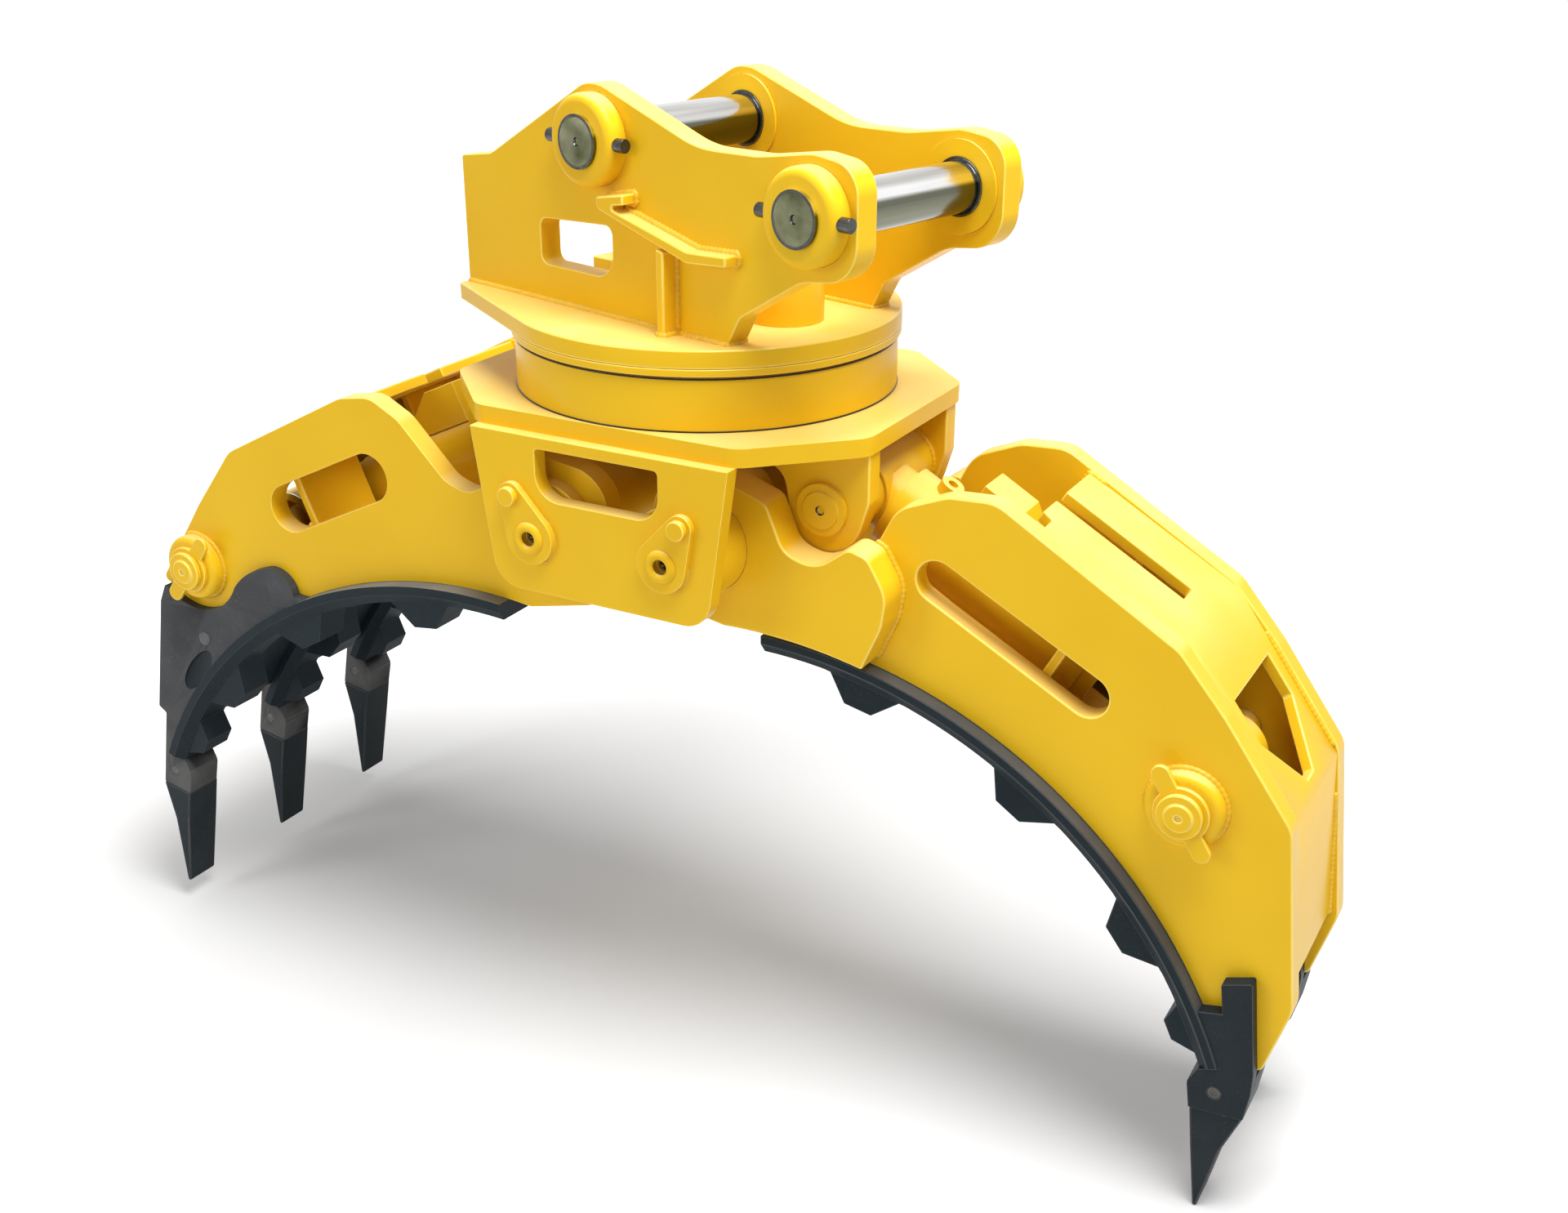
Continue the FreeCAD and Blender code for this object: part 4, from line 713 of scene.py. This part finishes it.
for side in ("right", "left"):
    plates = [side + "_side_plate_near", side + "_side_plate_far"]
    for node in plates + [side + "_back_sheet", side + "_ribs"]:
        softened(node, plate_edge, [yellow, yellow_edge_highlight])
    softened(side + "_inner_sheet", plate_edge, [yellow, yellow_edge_highlight, grip_black], shape=grip_side(side, 2))
    for node in (side + "_hub", side + "_rod_pin_bosses"):
        softened(node, boss_edge, [yellow, yellow_edge_highlight])
    members = ("_back_sheet", "_inner_sheet", "_ribs", "_hub", "_rod_pin_bosses")
    joints = [(side + member, plate) for member in members for plate in plates]
    if side == "right":
        softened("right_pivot_cheeks", plate_edge, [yellow, yellow_edge_highlight])
        joints += [("right_pivot_cheeks", plate) for plate in plates]
        joints += [("right_hub", "right_pivot_cheeks")]
    welded(side + "_jaw_weld_beads", "jaw_" + side, joints, bead_radius)

# The rod pins: painted steel bars with a recessed ring in each end face, held in the jaw's bosses
# by a two-eared keeper plate.
for side in ("right", "left"):
    softened("rod_pin_" + side, boss_edge, [yellow, yellow_edge_highlight, dark_steel], shape=turned_ends(across, 0, (
        (0.0165, 0.0, 0), (0.0025, -0.004, 2))))
    softened("rod_pin_keeper_" + side, turned_edge, [yellow, yellow_edge_highlight])

# The tine castings of the wide jaw: thick cast steel with the grain of its sand mould, its skin
# paler towards the bottom. Each cheek has an oval hollow, painted dark inside as shade, with a round
# cast boss above it.
hollow_x, hollow_z = -0.9797, 0.5544
hollow_half_length, hollow_half_width, hollow_depth = 0.060, 0.021, 0.010
hollow_lean = math.radians(50.2)
boss_x, boss_z, boss_reach = -0.9506, 0.6268, 0.014
casting_rows = ((-0.305, -0.233), (-0.036, 0.036), (0.233, 0.305))
cast_grey = surfaced("grey_cast_steel", cast, {
    "Colour": (0.052, 0.054, 0.057, 1), "Shade": (0.036, 0.038, 0.042, 1), "Grain": 260.0,
    "Pale": (0.125, 0.124, 0.12, 1), "Paler low": 0.7}, relief=0.4, depth=0.0010, specular=0.2)
# Lighter cast steel for the castings' rounded edges and their cast bosses: a painted highlight
cast_highlight = surfaced("cast_steel_painted_highlight", cast, {
    "Colour": (0.13, 0.13, 0.125, 1), "Shade": (0.075, 0.076, 0.078, 1), "Grain": 260.0,
    "Pale": (0.22, 0.22, 0.21, 1)}, relief=0.3, depth=0.001, specular=0.25)
point_black = surfaced("black_forged_steel", cast, {
    "Colour": (0.010, 0.017, 0.021, 1), "Shade": (0.020, 0.027, 0.031, 1), "Grain": 340.0,
    "Pale": (0.06, 0.066, 0.07, 1)}, relief=0.35, depth=0.0009, specular=0.12)


def cheek_planes(edit):
    # The least and the greatest y of each separate casting in the mesh
    planes = []
    seen = set()
    for seed in edit.verts:
        if seed in seen:
            continue
        island, queue = [], [seed]
        seen.add(seed)
        while queue:
            vert = queue.pop()
            island.append(vert.co.y)
            for linked in vert.link_edges:
                other = linked.other_vert(vert)
                if other not in seen:
                    seen.add(other)
                    queue.append(other)
        planes += [min(island), max(island)]
    return planes


def hollowed_and_shaded(finish):
    # Carves the oval hollow into both cheeks of every casting and gives its inside a darker finish, a painted
    # shade
    def shape(edit):
        planes = cheek_planes(edit)
        cutters = bmesh.new()
        size = Matrix.Diagonal((hollow_half_length, hollow_depth, hollow_half_width, 1))
        leaning = Matrix.Rotation(-hollow_lean, 4, "Y") @ size
        for plane in planes:
            place = Matrix.Translation((hollow_x, plane, hollow_z)) @ leaning
            bmesh.ops.create_uvsphere(cutters, u_segments=32, v_segments=20, radius=1.0, matrix=place)
        solids = []
        for label, source in (("hollow_blank", edit), ("hollow_cutter", cutters)):
            mesh = bpy.data.meshes.new(label)
            source.to_mesh(mesh)
            solids.append(bpy.data.objects.new(label, mesh))
            bpy.context.scene.collection.objects.link(solids[-1])
        cutters.free()
        carve = solids[0].modifiers.new("carve", "BOOLEAN")
        carve.object = solids[1]
        carve.operation = "DIFFERENCE"
        carve.solver = "EXACT"
        carved = solids[0].evaluated_get(bpy.context.evaluated_depsgraph_get())
        result = bpy.data.meshes.new_from_object(carved)
        edit.clear()
        edit.from_mesh(result)
        for solid in solids:
            bpy.data.objects.remove(solid)
        bpy.data.meshes.remove(result)
        for face in edit.faces:
            middle = face.calc_center_median()
            away = math.hypot(middle.x - hollow_x, middle.z - hollow_z)
            sunk = min(abs(middle.y - plane) for plane in planes)
            if away < hollow_half_length and 0.0002 < sunk < hollow_depth:
                face.material_index = finish
    return shape


# The hollows get the black finish as painted shade
softened("left_tine_castings", 0.006, [cast_grey, cast_highlight, point_black], shape=hollowed_and_shaded(2), segments=3)
boss_profile = [(-0.002, 0.0001), (-0.002, boss_reach), (0.001, boss_reach), (0.0035, boss_reach * 0.7),
                (0.0048, boss_reach * 0.35), (0.005, 0.0001)]
for row, (near_cheek, far_cheek) in enumerate(casting_rows):
    for sign, end, y in ((-1, "near", near_cheek), (1, "far", far_cheek)):
        lathed("casting_bump_%d_%s" % (row, end), boss_profile, Vector((boss_x, y, boss_z)), across * sign,
               "jaw_left", cast_highlight, slot_of["left_tine_castings"], rings=20)

# The adapters and points: black forged steel, rubbed along the edges and painted lighter there as a
# highlight. The narrow jaw's adapters are welded to its side plates, and a point is pushed on each nose.
black_edge_wear_highlight = surfaced("black_edges_wear_and_highlight", cast, {
    "Colour": (0.050, 0.054, 0.057, 1), "Shade": (0.028, 0.033, 0.037, 1), "Grain": 340.0,
    "Pale": (0.11, 0.11, 0.11, 1)}, relief=0.3, depth=0.0009, specular=0.25)
softened("right_adapters", 0.009, [point_black, black_edge_wear_highlight], segments=3)
for node in ("left_points", "right_points"):
    softened(node, 0.004, [point_black, black_edge_wear_highlight])

# The wear strips: toothed strips cut from thick rolled plate and welded round each grip curve. Their
# ledge beside the jaw plates is a lighter grey, a painted highlight, and paler on the wide jaw.
for side, pale in (("left", 0.21), ("right", 0.095)):
    grip_ledge_highlight = surfaced("grey_grip_ledge_highlight_" + side, cast, {
        "Colour": (pale, pale, pale * 1.02, 1), "Shade": (pale * 0.65, pale * 0.66, pale * 0.69, 1),
        "Grain": 420.0, "Pale": (pale * 1.7, pale * 1.7, pale * 1.7, 1)},
        relief=0.25, depth=0.0008, specular=0.2)
    softened(side + "_wear_strips", 0.006, [grip_black, black_edge_wear_highlight, grip_ledge_highlight],
             shape=grip_side(side, 2, inward=False), segments=3)

# The tooth pins: short round bars of dull dark steel, driven across through each point and the
# nose that it sits on.
for node in ("left_tooth_pins", "right_tooth_pins"):
    softened(node, 0.0015, [dark_steel])
